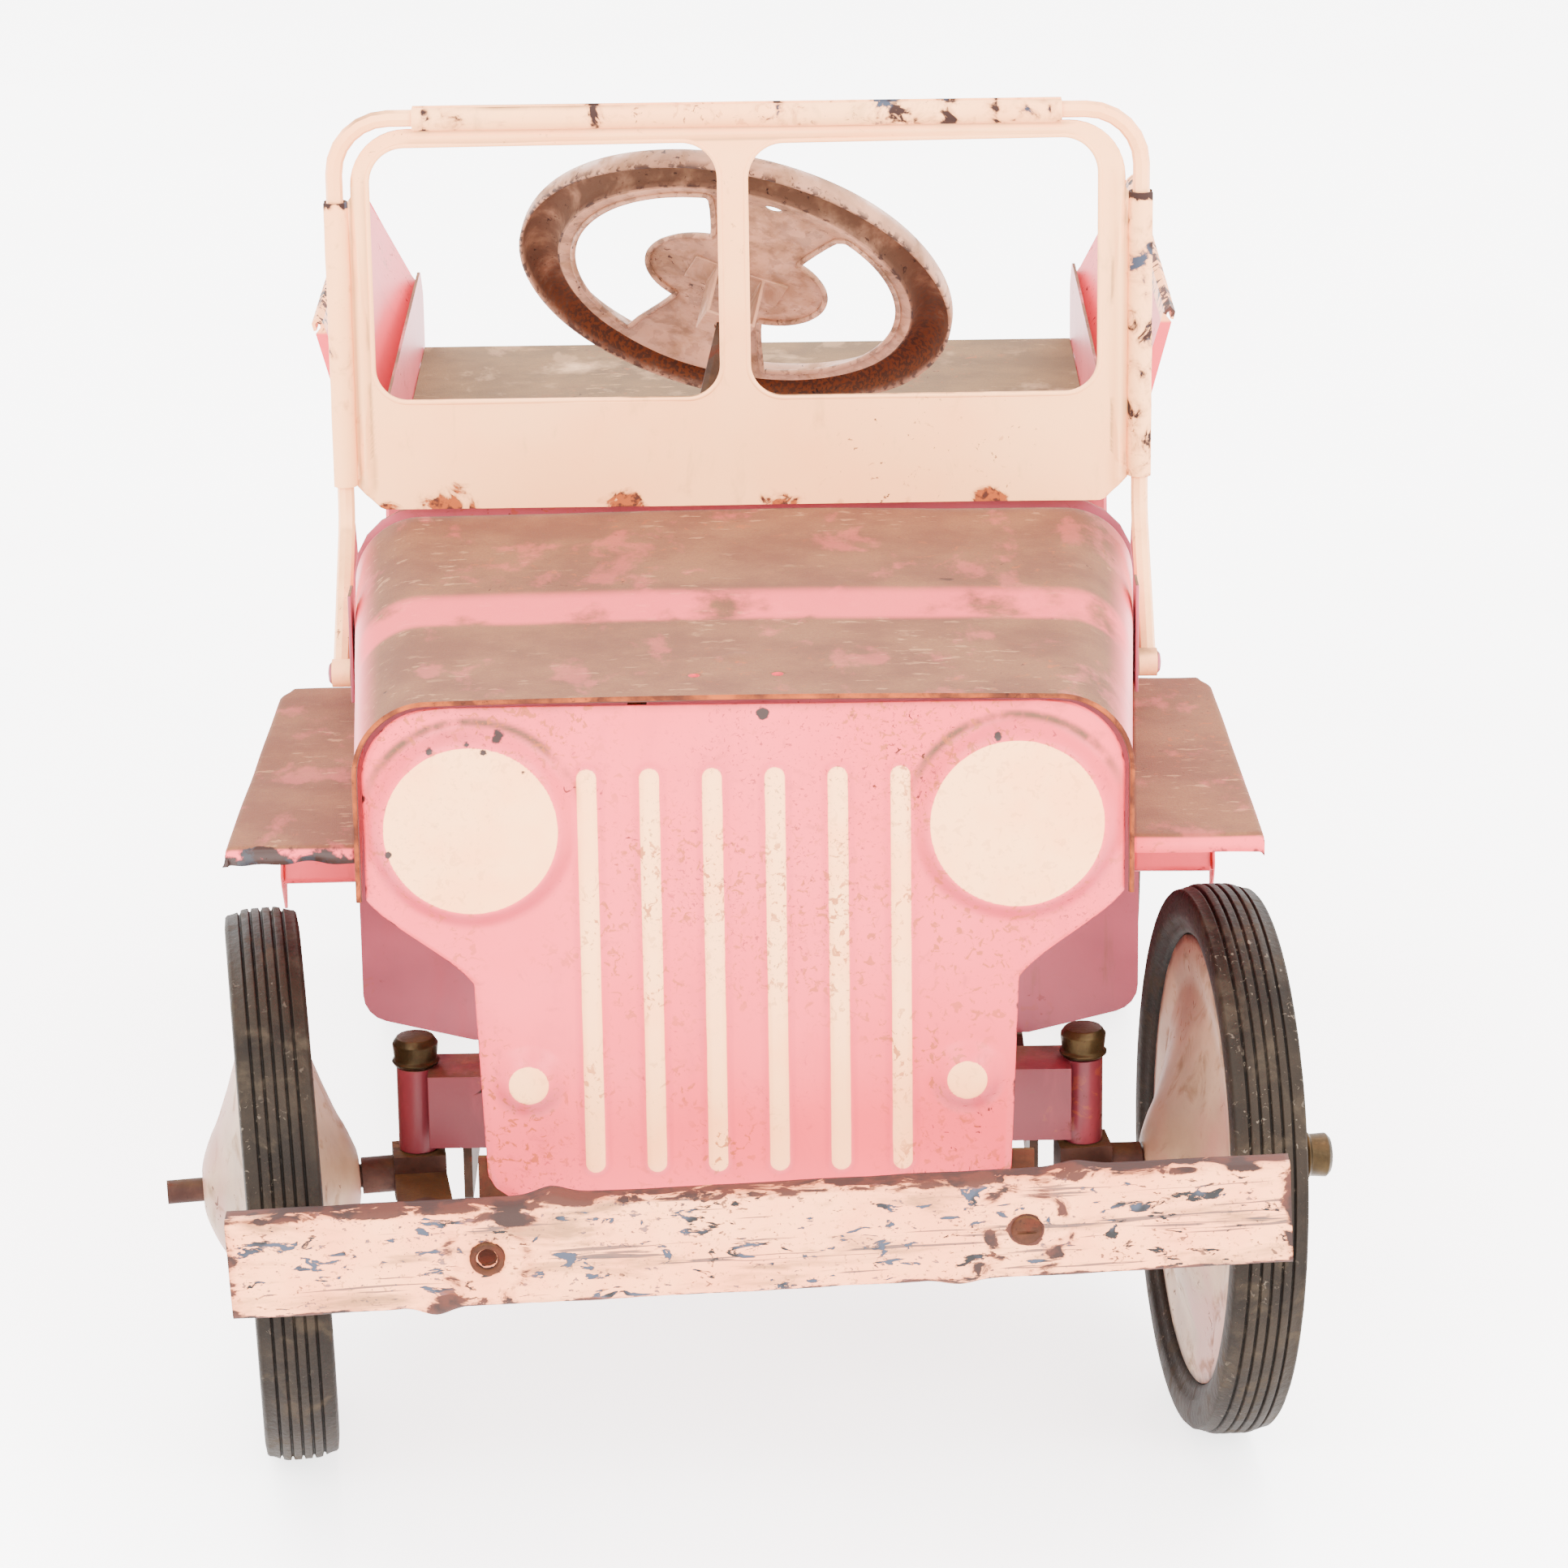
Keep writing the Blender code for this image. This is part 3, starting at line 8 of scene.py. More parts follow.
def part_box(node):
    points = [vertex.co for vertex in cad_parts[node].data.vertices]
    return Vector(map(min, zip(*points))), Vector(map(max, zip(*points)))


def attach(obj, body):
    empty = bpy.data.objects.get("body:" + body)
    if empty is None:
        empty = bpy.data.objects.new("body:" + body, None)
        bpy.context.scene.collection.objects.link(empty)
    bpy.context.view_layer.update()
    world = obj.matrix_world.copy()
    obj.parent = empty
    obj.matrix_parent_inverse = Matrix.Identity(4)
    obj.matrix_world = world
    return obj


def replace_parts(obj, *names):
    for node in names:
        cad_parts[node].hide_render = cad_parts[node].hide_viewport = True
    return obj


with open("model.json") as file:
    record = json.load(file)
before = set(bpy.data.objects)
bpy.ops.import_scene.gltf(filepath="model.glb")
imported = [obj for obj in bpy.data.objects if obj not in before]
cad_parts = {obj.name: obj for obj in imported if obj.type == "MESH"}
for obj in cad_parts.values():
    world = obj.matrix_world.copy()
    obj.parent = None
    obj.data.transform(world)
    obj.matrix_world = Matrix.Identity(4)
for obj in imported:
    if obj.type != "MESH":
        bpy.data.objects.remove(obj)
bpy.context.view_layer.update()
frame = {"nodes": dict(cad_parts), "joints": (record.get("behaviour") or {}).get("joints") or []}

# Metres, +Z up, the car faces -Y.  FRONT is the world y of the front axle.
FRONT = -0.2996

HOOD_Y = (-0.098, 0.166)
HOOD_HALF = (0.1685, 0.1850)
HOOD_STEP = (0.016, 0.044)
HOOD_BOTTOM = 0.296
SHOULDER = 0.033
PANEL_Y = -0.0955
PANEL_TOP = 0.3835
PANEL_BOTTOM = 0.150
STRIPE_PITCH = 0.0272
STRIPE_Z = (0.1712, 0.3508)
HEADLIGHT = (0.1185, 0.3295)
LAMP = (0.0965, 0.2105)
STRIPE_FOOT = 0.0062
HEADLIGHT_FOOT = 0.0478
LAMP_FOOT = 0.0190
SCREEN_Y = 0.1675
SCREEN_HALF = 0.188
SCREEN_TOP = 0.587
SCREEN_BOTTOM = 0.399
ROD_R = 0.004
RIB_TOP = (0.552, 0.566)
FOLD_END = (0.150, 0.160)
BUMPER_MIDDLE = (0.00425, -0.165, 0.1605)
BUMPER_LENGTH = 0.4605
BUMPER_H = 0.0465
BUMPER_TILT = math.radians(2.5)
TYRE_R = 0.127
TYRE_HALF = 0.017
HUB_HALF = 0.036
WHEEL_CENTRE = Vector((-0.001, 0.290, 0.4844))
COLUMN_DIR = Vector((0.208, 0.680, 0.705)).normalized()
SPOKE_TURN = math.radians(18.0)
RIM_R = 0.108
RIM_TUBE_R = 0.0104
RIM_MIDDLE = -0.0070
FENDER_Z = 0.315
FENDER_Y = (-0.078, 0.1515)
FENDER_OUT = 0.228
TAIL_X = 0.2197
CURL_R = 0.0030
LEG_LINE = ((0.1300, FENDER_Z - 0.001), (0.1205, 0.292), (0.1110, 0.268), (0.0992, 0.2385),
            (0.0985, 0.2368), (0.1004, 0.2358))
TAIL_OUTLINE = ((0.132, 0.314, 0.0), (0.0960, 0.2400, 0.003), (0.1000, 0.2330, 0.006),
                (0.1122, 0.2182, 0.001), (0.1136, 0.2188, 0.001), (0.1170, 0.247, 0.012),
                (0.139, 0.314, 0.0))
HOOD_HOLES = (-0.0210, 0.0155)
HOOD_HOLE_Y = -0.066
DRILL_HALF = 0.01
SLEEVE_TOP = 0.5480
# Bulges (x, size) along the bumper's bottom edge, then along its top edge.
BUMPER_BULGES = (((-0.1420, 0.0040), (0.0860, 0.0024)), ((-0.0890, 0.0034), (0.1380, 0.0022)))
BUMPER_HOLES = (-0.1180, 0.1156)
TREAD_HALF = 0.0146

# Worn places: (x, z, reach), or (x, reach) along an edge.
GRILLE_CHIPS = ((-0.1060, 0.3715, 0.0075), (-0.1350, 0.3660, 0.0050), (0.1100, 0.3690, 0.0050),
                (-0.1190, 0.3690, 0.0035), (0.0090, 0.3790, 0.0060), (-0.1545, 0.3190, 0.0040),
                (-0.0950, 0.3560, 0.0032), (-0.1120, 0.3655, 0.0042))
SCREEN_FOOT_RUST = ((-0.056, SCREEN_BOTTOM, 0.017), (0.018, SCREEN_BOTTOM, 0.013),
                    (-0.140, SCREEN_BOTTOM, 0.020), (0.118, SCREEN_BOTTOM, 0.014),
                    (-0.168, SCREEN_BOTTOM, 0.009))
RAIL_CHIPS = ((-0.066, 0.010), (0.020, 0.008), (0.070, 0.022), (0.098, 0.014), (0.120, 0.006),
              (-0.145, 0.008))
BUMPER_WEAR = ((-0.105, 0.018, 0.012), (-0.135, -0.018, 0.012), (0.100, -0.018, 0.012),
               (0.125, 0.018, 0.012))

# Each wheel: end, side, the joint on its axle, and its body.
WHEELS = (
    ("front", "left", "front_wheel_left_spin", "front_wheel_l"),
    ("rear", "left", "crank_spin", "crank"),
    ("front", "right", "front_wheel_right_spin", "front_wheel_r"),
    ("rear", "right", "rear_wheel_right_spin", "rear_wheel_r"),
)

# The look of every CAD node that isn't replaced.
CAD_LOOKS = {
    "panel": "firewall dash_panel pivot_bracket_left pivot_bracket_right",
    "side": "rear_panel seat_back body_side_left body_side_right",
    "deck": "rear_deck seat_pan",
    "flare": "quarter_flare_left quarter_flare_right",
    "beam": "front_axle_beam",
    "steel": "frame_rail_left frame_rail_right tub_hanger_left tub_hanger_right "
             "axle_bushing_left axle_bushing_right pedal_hanger column_bearing steering_column "
             "rear_axle_crank push_rod_left push_rod_right pedal_arm_left pedal_arm_right",
    "rust": "bumper_bolt bumper_bracket_left bumper_bracket_right front_washer",
    "screen_edge": "windshield_rod",
    "steering": "steering_wheel_clip",
    "knuckle": "knuckle_left knuckle_right tie_rod",
    "brass": "kingpin_cap_left kingpin_cap_right front_axle_cap rear_axle_cap_left "
             "rear_axle_cap_right",
    "pedal": "pedal_pad_left pedal_pad_right",
}


# ------------------------------------------------------------------ colours
# Linear reflectances; the room around the car is bright.
def tint(red, green, blue):
    return (red, green, blue, 1.0)


PINK = tint(0.68, 0.048, 0.066)
PINK_DEEP = tint(0.40, 0.042, 0.060)
PINK_PALE = tint(0.72, 0.066, 0.086)
PINK_SHADE = tint(0.36, 0.032, 0.054)
CREAM = tint(0.97, 0.385, 0.150)
CREAM_PALE = tint(0.97, 0.450, 0.190)
BOARD = tint(0.86, 0.270, 0.110)
BOARD_PALE = tint(0.93, 0.350, 0.150)
IVORY = tint(0.36, 0.225, 0.130)
IVORY_DIM = tint(0.200, 0.115, 0.066)
BLUSH = tint(0.27, 0.088, 0.068)
DUST = tint(0.070, 0.0365, 0.0120)
DUST_PALE = tint(0.124, 0.0650, 0.0215)
DUST_DARK = tint(0.055, 0.024, 0.013)
DUST_LIGHT = tint(0.255, 0.135, 0.058)
RUST = tint(0.060, 0.014, 0.007)
RUST_BRIGHT = tint(0.300, 0.060, 0.011)
RUST_DARK = tint(0.022, 0.0075, 0.0050)
BARE = tint(0.020, 0.019, 0.023)
BLUE_GREY = tint(0.036, 0.042, 0.062)
BLACK = tint(0.008, 0.007, 0.007)
RUBBER = tint(0.0090, 0.0062, 0.0044)
RUBBER_PALE = tint(0.0185, 0.0125, 0.0080)
RUBBER_GROOVE_SHADE = tint(0.005, 0.0040, 0.0032)
RUBBER_DUST = tint(0.050, 0.0370, 0.0250)
RUBBER_NICK = tint(0.110, 0.085, 0.062)


# ---------------------------------------------------------------- materials
class Paint:
    """A node material with short ways to add noise, masks and layers."""

    def __init__(self, name):
        self.material = bpy.data.materials.new(name)
        self.material.use_nodes = True
        self.tree = self.material.node_tree
        self.shader = self.tree.nodes["Principled BSDF"]
        coords = self.tree.nodes.new("ShaderNodeTexCoord")
        self.place = coords.outputs["Object"]
        self.normal = coords.outputs["Normal"]
        self.colour = None
        self.bumps = []

    def put(self, socket, value):
        if isinstance(value, bpy.types.NodeSocket):
            self.tree.links.new(value, socket)
        else:
            socket.default_value = value

    def node(self, kind, values):
        """New node with its sockets linked or set."""
        made = self.tree.nodes.new("ShaderNode" + kind)
        for name, value in values.items():
            self.put(made.inputs[name], value)
        return made

    def noise(self, scale, detail=3.0, stretch=(1.0, 1.0, 1.0), shift=0.0, twist=0.0):
        mapping = self.node("Mapping", {"Vector": self.place, "Scale": stretch,
                                        "Location": (shift, shift * 0.7, shift * 1.3)})
        made = self.node("TexNoise", {"Vector": mapping.outputs["Vector"], "Scale": scale,
                                      "Detail": detail, "Roughness": 0.6, "Distortion": twist})
        return made.outputs["Fac"]

    def math(self, operation, first, second=0.0):
        made = self.node("Math", {0: first, 1: second})
        made.operation = operation
        return made.outputs[0]

    def ramp(self, value, low, high):
        """0 below low, 1 above high, smooth between; low may be the larger."""
        rising = low < high
        made = self.node("MapRange", {"Value": value, "From Min": min(low, high),
                                      "From Max": max(low, high),
                                      "To Min": 0.0 if rising else 1.0,
                                      "To Max": 1.0 if rising else 0.0})
        made.interpolation_type = "SMOOTHSTEP"
        return made.outputs["Result"]

    def blot(self, low, high, scale, *more, **named):
        """Soft-edged patches cut out of a noise."""
        return self.ramp(self.noise(scale, *more, **named), low, high)

    def both(self, first, second):
        return self.math("MULTIPLY", first, second)

    def either(self, first, second):
        return self.math("MAXIMUM", first, second)

    def axis(self, letter, vector=None):
        made = self.node("SeparateXYZ", {0: self.place if vector is None else vector})
        return made.outputs[letter]

    def upward(self):
        return self.axis("Z", self.normal)

    def mask(self, name):
        """A share painted on the mesh's points."""
        made = self.tree.nodes.new("ShaderNodeAttribute")
        made.attribute_name = name
        return made.outputs["Fac"]

    def worn_edge(self, middle, scale, *more, **named):
        """The mesh's rust share, made ragged by a noise about its middle."""
        ragged = self.math("SUBTRACT", self.noise(scale, *more, **named), middle)
        return self.math("ADD", self.mask("rust"), ragged)

    def mix(self, share, first, second):
        made = self.tree.nodes.new("ShaderNodeMix")
        made.data_type = "RGBA"
        for index, value in ((0, share), (6, first), (7, second)):
            self.put(made.inputs[index], value)
        return made.outputs[2]

    def coat(self, top, share, strength=None):
        """Lays a colour over what is there where the share says so."""
        share = share if strength is None else self.both(share, strength)
        self.colour = self.mix(share, self.colour, top)

    def level(self, share, first, second):
        """Number going from first to second with the share."""
        return self.node("MapRange", {"Value": share, "To Min": first,
                                      "To Max": second}).outputs["Result"]

    def bump(self, height, depth):
        """Adds a height in metres to the surface relief."""
        made = self.node("Bump", {"Height": height, "Distance": depth})
        if self.bumps:
            self.put(made.inputs["Normal"], self.bumps[-1])
        self.bumps.append(made.outputs["Normal"])

    def pit(self, share, depth):
        """Sinks the surface where the share is 1."""
        self.bump(self.math("SUBTRACT", 1.0, share), depth)

    def finish(self, roughness, metallic=0.0, gloss=0.5):
        self.put(self.shader.inputs["Base Color"], self.colour)
        self.put(self.shader.inputs["Roughness"], roughness)
        self.put(self.shader.inputs["Metallic"], metallic)
        self.shader.inputs["Specular IOR Level"].default_value = gloss
        if self.bumps:
            self.put(self.shader.inputs["Normal"], self.bumps[-1])
        return self.material


def speckles(paint, scale, amount, shift=0.0, patch=9.0, patchy=0.5):
    """Small spots gathered in patches; amount 0..1 is how many."""
    spots = paint.blot(0.70 - 0.16 * amount, 0.76 - 0.16 * amount, scale, 4.0, shift=shift,
                       twist=0.8)
    where = paint.blot(patchy - 0.04, patchy + 0.14, patch, 2.0, shift=shift + 3.0)
    return paint.both(spots, where)


def dusted(paint, amount, shift=0.0, low=0.45, high=0.86):
    """Lays brown settled dust on upward faces; returns its share."""
    up = paint.ramp(paint.upward(), low, high)
    cover = paint.blot(0.62 - 0.58 * amount, 0.84 - 0.58 * amount, 14.0, 5.0, shift=shift)
    wiped = paint.blot(0.66, 0.56, 38.0, 6.0, (1.0, 0.6, 1.0), shift + 5.0, 0.15)
    scuffs = paint.blot(0.68, 0.60, 190.0, 3.0, (0.40, 1.0, 1.0), shift + 2.0)
    share = paint.both(paint.both(up, cover), paint.level(wiped, 0.80, 1.0))
    grain = paint.blot(0.35, 0.65, 900.0, 2.0)
    cloud = paint.blot(0.35, 0.65, 24.0, 5.0, shift=shift + 8.0)
    brown = paint.mix(cloud, DUST, DUST_PALE)
    brown = paint.mix(paint.both(grain, 0.35), brown, DUST_DARK)
    thin = paint.both(paint.math("SUBTRACT", 1.0, scuffs), paint.blot(0.40, 0.60, 9.0))
    brown = paint.mix(paint.both(thin, 0.75), brown, DUST_LIGHT)
    paint.coat(brown, share, 0.93)
    return share


def pink_paint(name, dust, rust, shift, streaks=0.0, low=0.45, high=0.86, base=PINK,
               pale=PINK_PALE, marks=None):
    paint = Paint(name)
    tone = paint.blot(0.35, 0.68, 7.0, 4.0, shift=shift)
    paint.colour = paint.mix(tone, base, pale)
    grime_and_shade = paint.blot(0.52, 0.74, 30.0, 6.0, (1.0, 1.0, 0.4), shift + 1.0, 0.6)
    paint.coat(PINK_DEEP, grime_and_shade, 0.30)
    stain = paint.blot(0.60, 0.74, 90.0, 5.0, shift=shift + 4.0, twist=0.7)
    paint.coat(DUST, stain, 0.22)
    if streaks:
        runs = paint.blot(0.62, 0.78, 120.0, 4.0, (1.0, 1.0, 0.12), shift + 6.0)
        paint.coat(DUST_PALE, runs, streaks)
    dirt = dusted(paint, dust, shift, low, high)
    halo = speckles(paint, 150.0, rust + 0.25, shift, 9.0, 0.50)
    paint.coat(RUST_BRIGHT, halo, 0.45)
    core = speckles(paint, 230.0, rust, shift, 9.0, 0.50)
    paint.coat(RUST, core)
    chips = speckles(paint, 70.0, rust * 0.6, shift + 11.0, 13.0, 0.56)
    paint.coat(RUST_DARK, chips)
    if marks:
        marks(paint)
    rough = paint.level(paint.either(dirt, paint.either(core, chips)), 0.40, 0.92)
    paint.bump(paint.noise(320.0, 2.0, shift=shift), 0.00008)
    paint.bump(paint.both(paint.noise(1400.0, 2.0), dirt), 0.00025)
    paint.pit(chips, 0.00020)
    return paint.finish(rough, gloss=0.30)


def grille_marks(paint):
    """Cream sprayed on the raised stripes and lamps, rust along edges."""
    ragged = paint.math("SUBTRACT", paint.noise(60.0, 3.0), 0.5)
    edge = paint.math("ADD", paint.mask("cream"), paint.both(ragged, 0.25))
    cream = paint.ramp(edge, 0.36, 0.62)
    tone = paint.mix(paint.blot(0.4, 0.7, 26.0, 3.0), CREAM_PALE, CREAM)
    paint.coat(tone, cream)
    # Painted shade: the foot of each headlight and lamp and the sides of the stripes are coloured
    # darker pink.
    shade = paint.both(paint.mask("grime_and_shade"), paint.level(paint.noise(40.0, 4.0), 0.65, 1.0))
    paint.coat(PINK_SHADE, shade, 0.80)
    dirt = paint.both(paint.mask("dust"), paint.blot(0.28, 0.55, 55.0, 5.0))
    paint.coat(DUST, dirt)
    worn = paint.ramp(paint.worn_edge(0.62, 110.0, 5.0), 0.28, 0.42)
    outer = paint.ramp(paint.math("ABSOLUTE", paint.axis("X")), 0.070, 0.080)
    bright = paint.level(paint.both(cream, outer), 1.0, 0.25)
    spots = speckles(paint, 240.0, 0.88, 21.0, 13.0, 0.47)
    paint.coat(RUST_BRIGHT, paint.both(spots, bright), 0.80)
    fine = speckles(paint, 560.0, 0.66, 31.0, 9.0, 0.50)
    paint.coat(RUST, paint.both(fine, bright), 0.6)
    paint.coat(RUST_DARK, worn)


def hood_marks(paint):
    """Pink left clean on the rise of the hood, rust at its hem."""
    wiped = paint.both(paint.mask("clean"), paint.blot(0.30, 0.50, 28.0, 5.0))
    paint.coat(PINK_PALE, wiped, 0.82)
    worn = paint.ramp(paint.worn_edge(0.60, 130.0, 5.0), 0.26, 0.40)
    paint.coat(RUST, worn)


def lip_marks(paint):
    """Chipped and rusty edges where the mesh says so."""
    worn = paint.ramp(paint.worn_edge(0.60, 120.0, 5.0), 0.25, 0.38)
    bare = paint.blot(0.58, 0.64, 75.0, 4.0, shift=7.0)
    paint.coat(paint.mix(bare, RUST_DARK, BARE), worn)


def flare_marks(paint):
    """Cream rolled top with chips on a pink quarter panel."""
    top = paint.ramp(paint.axis("Z"), 0.4185, 0.4205)
    paint.coat(CREAM, top, 0.9)
    chips = paint.blot(0.50, 0.54, 120.0, 5.0, shift=4.0, twist=0.6)
    kind = paint.blot(0.48, 0.56, 60.0, 3.0, shift=2.0)
    share = paint.both(top, chips)
    paint.coat(paint.mix(kind, RUST, RUST_DARK), share)


def cream_paint(name, chips, shift, dust):
    paint = Paint(name)
    tone = paint.blot(0.35, 0.70, 8.0, 4.0, shift=shift)
    paint.colour = paint.mix(tone, CREAM_PALE, CREAM)
    grime_and_shade = paint.blot(0.56, 0.76, 60.0, 6.0, (1.0, 1.0, 0.5), shift + 1.0, 0.5)
    paint.coat(DUST_PALE, grime_and_shade, 0.28)
    # Darker lines beside the ribs and under the top fold, from the mesh's mask.
    paint.coat(DUST_PALE, paint.mask("grime_and_shade"), 0.55)
    dirt = dusted(paint, dust, shift, 0.55, 0.95)
    halo = speckles(paint, 160.0, chips + 0.1, shift, 10.0, 0.54)
    paint.coat(RUST_BRIGHT, halo, 0.4)
    rust = speckles(paint, 260.0, chips, shift, 10.0, 0.54)
    paint.coat(RUST, rust)
    edge = paint.worn_edge(0.62, 95.0, 5.0, shift=shift, twist=0.6)
    glow = paint.ramp(edge, 0.16, 0.34)
    paint.coat(RUST_BRIGHT, glow, 0.45)
    worn = paint.ramp(edge, 0.28, 0.36)
    kind = paint.blot(0.52, 0.58, 45.0, 3.0, shift=shift + 2.0)
    chip = paint.mix(kind, RUST_DARK, BLUE_GREY)
    foot = paint.ramp(paint.axis("Z"), SCREEN_BOTTOM + 0.016, SCREEN_BOTTOM + 0.010)
    orange = paint.mix(paint.blot(0.45, 0.58, 210.0, 3.0, shift=3.0), RUST_BRIGHT, RUST)
    chip = paint.mix(foot, chip, orange)
    paint.coat(chip, worn)
    rough = paint.level(paint.either(dirt, paint.either(rust, worn)), 0.42, 0.90)
    paint.bump(paint.noise(300.0, 2.0, shift=shift), 0.00007)
    paint.pit(worn, 0.00022)
    return paint.finish(rough, gloss=0.30)


def bumper_paint():
    paint = Paint("bumper_enamel")
    tone = paint.blot(0.35, 0.66, 20.0, 5.0)
    paint.colour = paint.mix(tone, BOARD_PALE, BOARD)
    scuff = paint.blot(0.50, 0.70, 55.0, 6.0, (0.30, 1.0, 1.6), 2.0, 0.5)
    paint.coat(DUST_PALE, scuff, 0.75)
    pits = paint.blot(0.60, 0.68, 420.0, 3.0)
    paint.coat(DUST, pits, 0.5)
    scratches = paint.blot(0.610, 0.640, 95.0, 3.0, (0.10, 1.0, 3.2), 5.0, 0.3)
    paint.coat(BARE, scratches, 0.85)
    chips = paint.blot(0.585, 0.605, 125.0, 7.0, (0.55, 1.0, 1.5), 9.0, 0.6)
    flecks = paint.blot(0.635, 0.66, 330.0, 4.0, (0.7, 1.0, 1.2), 4.0, 0.4)
    chips = paint.either(chips, paint.both(flecks, 0.8))
    grey = paint.blot(0.46, 0.54, 34.0, 3.0, shift=3.0)
    dark = paint.mix(grey, BLUE_GREY, BLACK)
    paint.coat(dark, chips)
    edge = paint.worn_edge(0.60, 85.0, 6.0, (0.6, 1.0, 1.2), 0.0, 0.8)
    glow = paint.ramp(edge, 0.13, 0.30)
    paint.coat(RUST_BRIGHT, glow, 0.5)
    worn = paint.ramp(edge, 0.24, 0.30)
    kind = paint.blot(0.47, 0.58, 50.0, 4.0, shift=12.0)
    paint.coat(paint.mix(kind, RUST, RUST_DARK), worn)
    rough = paint.level(paint.either(chips, worn), 0.46, 0.85)
    paint.bump(paint.noise(140.0, 4.0), 0.00030)
    paint.pit(paint.either(chips, worn), 0.00035)
    return paint.finish(rough, gloss=0.4)


def tyre_rubber(name, shift):
    paint = Paint(name)
    tone = paint.blot(0.32, 0.70, 30.0, 5.0, shift=shift)
    paint.colour = paint.mix(tone, RUBBER, RUBBER_PALE)
    groove = paint.mask("groove")
    # Painted shade: the tread grooves are coloured darker than the ribs.
    paint.coat(RUBBER_GROOVE_SHADE, groove, 0.85)
    dusty = paint.blot(0.50, 0.72, 70.0, 6.0, shift=shift + 3.0, twist=0.5)
    paint.coat(RUBBER_DUST, dusty, 0.55)
    nicks = speckles(paint, 330.0, 0.55, shift, 26.0, 0.50)
    paint.coat(RUBBER_NICK, nicks, 0.8)
    paint.bump(paint.noise(240.0, 5.0, shift=shift), 0.0006)
    paint.bump(nicks, 0.0003)
    return paint.finish(paint.level(dusty, 0.62, 0.92), gloss=0.10)


def wheel_paint(name, shift):
    paint = Paint(name)
    tone = paint.blot(0.34, 0.68, 14.0, 5.0, shift=shift)
    paint.colour = paint.mix(tone, IVORY, IVORY_DIM)
    blush = paint.blot(0.47, 0.60, 9.0, 3.0, shift=shift + 4.0)
    paint.coat(BLUSH, blush, 0.65)
    grime_and_shade = paint.blot(0.52, 0.72, 48.0, 6.0, shift=shift + 1.0, twist=0.7)
    paint.coat(DUST, grime_and_shade, 0.5)
    rim = paint.both(paint.mask("rust"), paint.blot(0.34, 0.55, 70.0, 5.0, shift=shift))
    paint.coat(RUST_DARK, rim)
    core = speckles(paint, 210.0, 0.45, shift, 12.0, 0.48)
    paint.coat(RUST, core)
    paint.bump(paint.noise(230.0, 3.0), 0.00012)
    paint.pit(core, 0.0002)
    return paint.finish(paint.level(paint.either(grime_and_shade, core), 0.48, 0.9), gloss=0.4)


def rusty_metal(name, base, second, metallic, rough, shift, rust=0.4, dust=0.4):
    paint = Paint(name)
    tone = paint.blot(0.32, 0.68, 60.0, 5.0, shift=shift)
    paint.colour = paint.mix(tone, base, second)
    patch = paint.blot(0.66 - 0.2 * rust, 0.76 - 0.2 * rust, 38.0, 6.0, shift=shift + 2.0,
                       twist=0.8)
    paint.coat(RUST, patch, 0.9)
    grains = speckles(paint, 420.0, 0.6, shift, 20.0, 0.45)
    paint.coat(RUST_DARK, grains, 0.7)
    dirt = dusted(paint, dust, shift)
    shine = paint.level(paint.either(patch, dirt), metallic, 0.0)
    paint.bump(paint.noise(500.0, 4.0, shift=shift), 0.00018)
    paint.bump(patch, 0.0002)
    return paint.finish(paint.level(paint.either(patch, dirt), rough, 0.92), shine, 0.15)


def steering_paint():
    """Dirty pinkish cream; the hollow underside of the rim is rusty."""
    paint = Paint("steering_wheel_enamel")
    tone = paint.blot(0.34, 0.68, 16.0, 5.0)
    paint.colour = paint.mix(tone, tint(0.42, 0.205, 0.120), tint(0.225, 0.105, 0.060))
    grime_and_shade = paint.blot(0.44, 0.66, 42.0, 6.0, shift=2.0, twist=0.6)
    paint.coat(DUST, grime_and_shade, 0.45)
    hollow = paint.mask("hollow")
    paint.coat(tint(0.090, 0.0400, 0.0220), hollow, paint.blot(0.20, 0.55, 50.0, 4.0))
    low = paint.ramp(paint.axis("Z"), 0.500, 0.440)
    paint.coat(tint(0.045, 0.0150, 0.0080), paint.both(hollow, low), 0.85)
    orange = paint.both(paint.both(hollow, low), paint.blot(0.46, 0.54, 500.0, 3.0))
    paint.coat(tint(0.110, 0.0300, 0.0090), orange)
    core = speckles(paint, 300.0, 0.5, 4.0, 18.0, 0.46)
    paint.coat(RUST_DARK, core)
    edge = paint.both(paint.mask("rust"), paint.blot(0.50, 0.56, 150.0, 4.0, shift=6.0))
    paint.coat(RUST_DARK, edge)
    paint.bump(paint.noise(420.0, 4.0), 0.0002)
    paint.pit(core, 0.0002)
    return paint.finish(paint.level(paint.either(grime_and_shade, hollow), 0.42, 0.9), gloss=0.25)


def floor_paint():
    paint = Paint("studio_floor")
    marks = paint.blot(0.4, 0.7, 3.0, 4.0)
    paint.colour = paint.mix(marks, tint(0.93, 0.915, 0.910), tint(0.90, 0.880, 0.875))
    paint.put(paint.shader.inputs["Emission Color"], paint.colour)
    paint.shader.inputs["Emission Strength"].default_value = 3.0
    return paint.finish(paint.level(marks, 0.22, 0.30), gloss=0.5)


# ----------------------------------------------------------------- geometry
def add(name, mesh, material, body, matrix=None):
    """Puts a mesh in the scene as a piece that rides on a body."""
    obj = bpy.data.objects.new(name, mesh)
    bpy.context.scene.collection.objects.link(obj)
    mesh.materials.clear()
    mesh.materials.append(material)
    mesh.shade_smooth()
    if matrix is not None:
        obj.matrix_world = matrix
    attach(obj, body)
    return obj


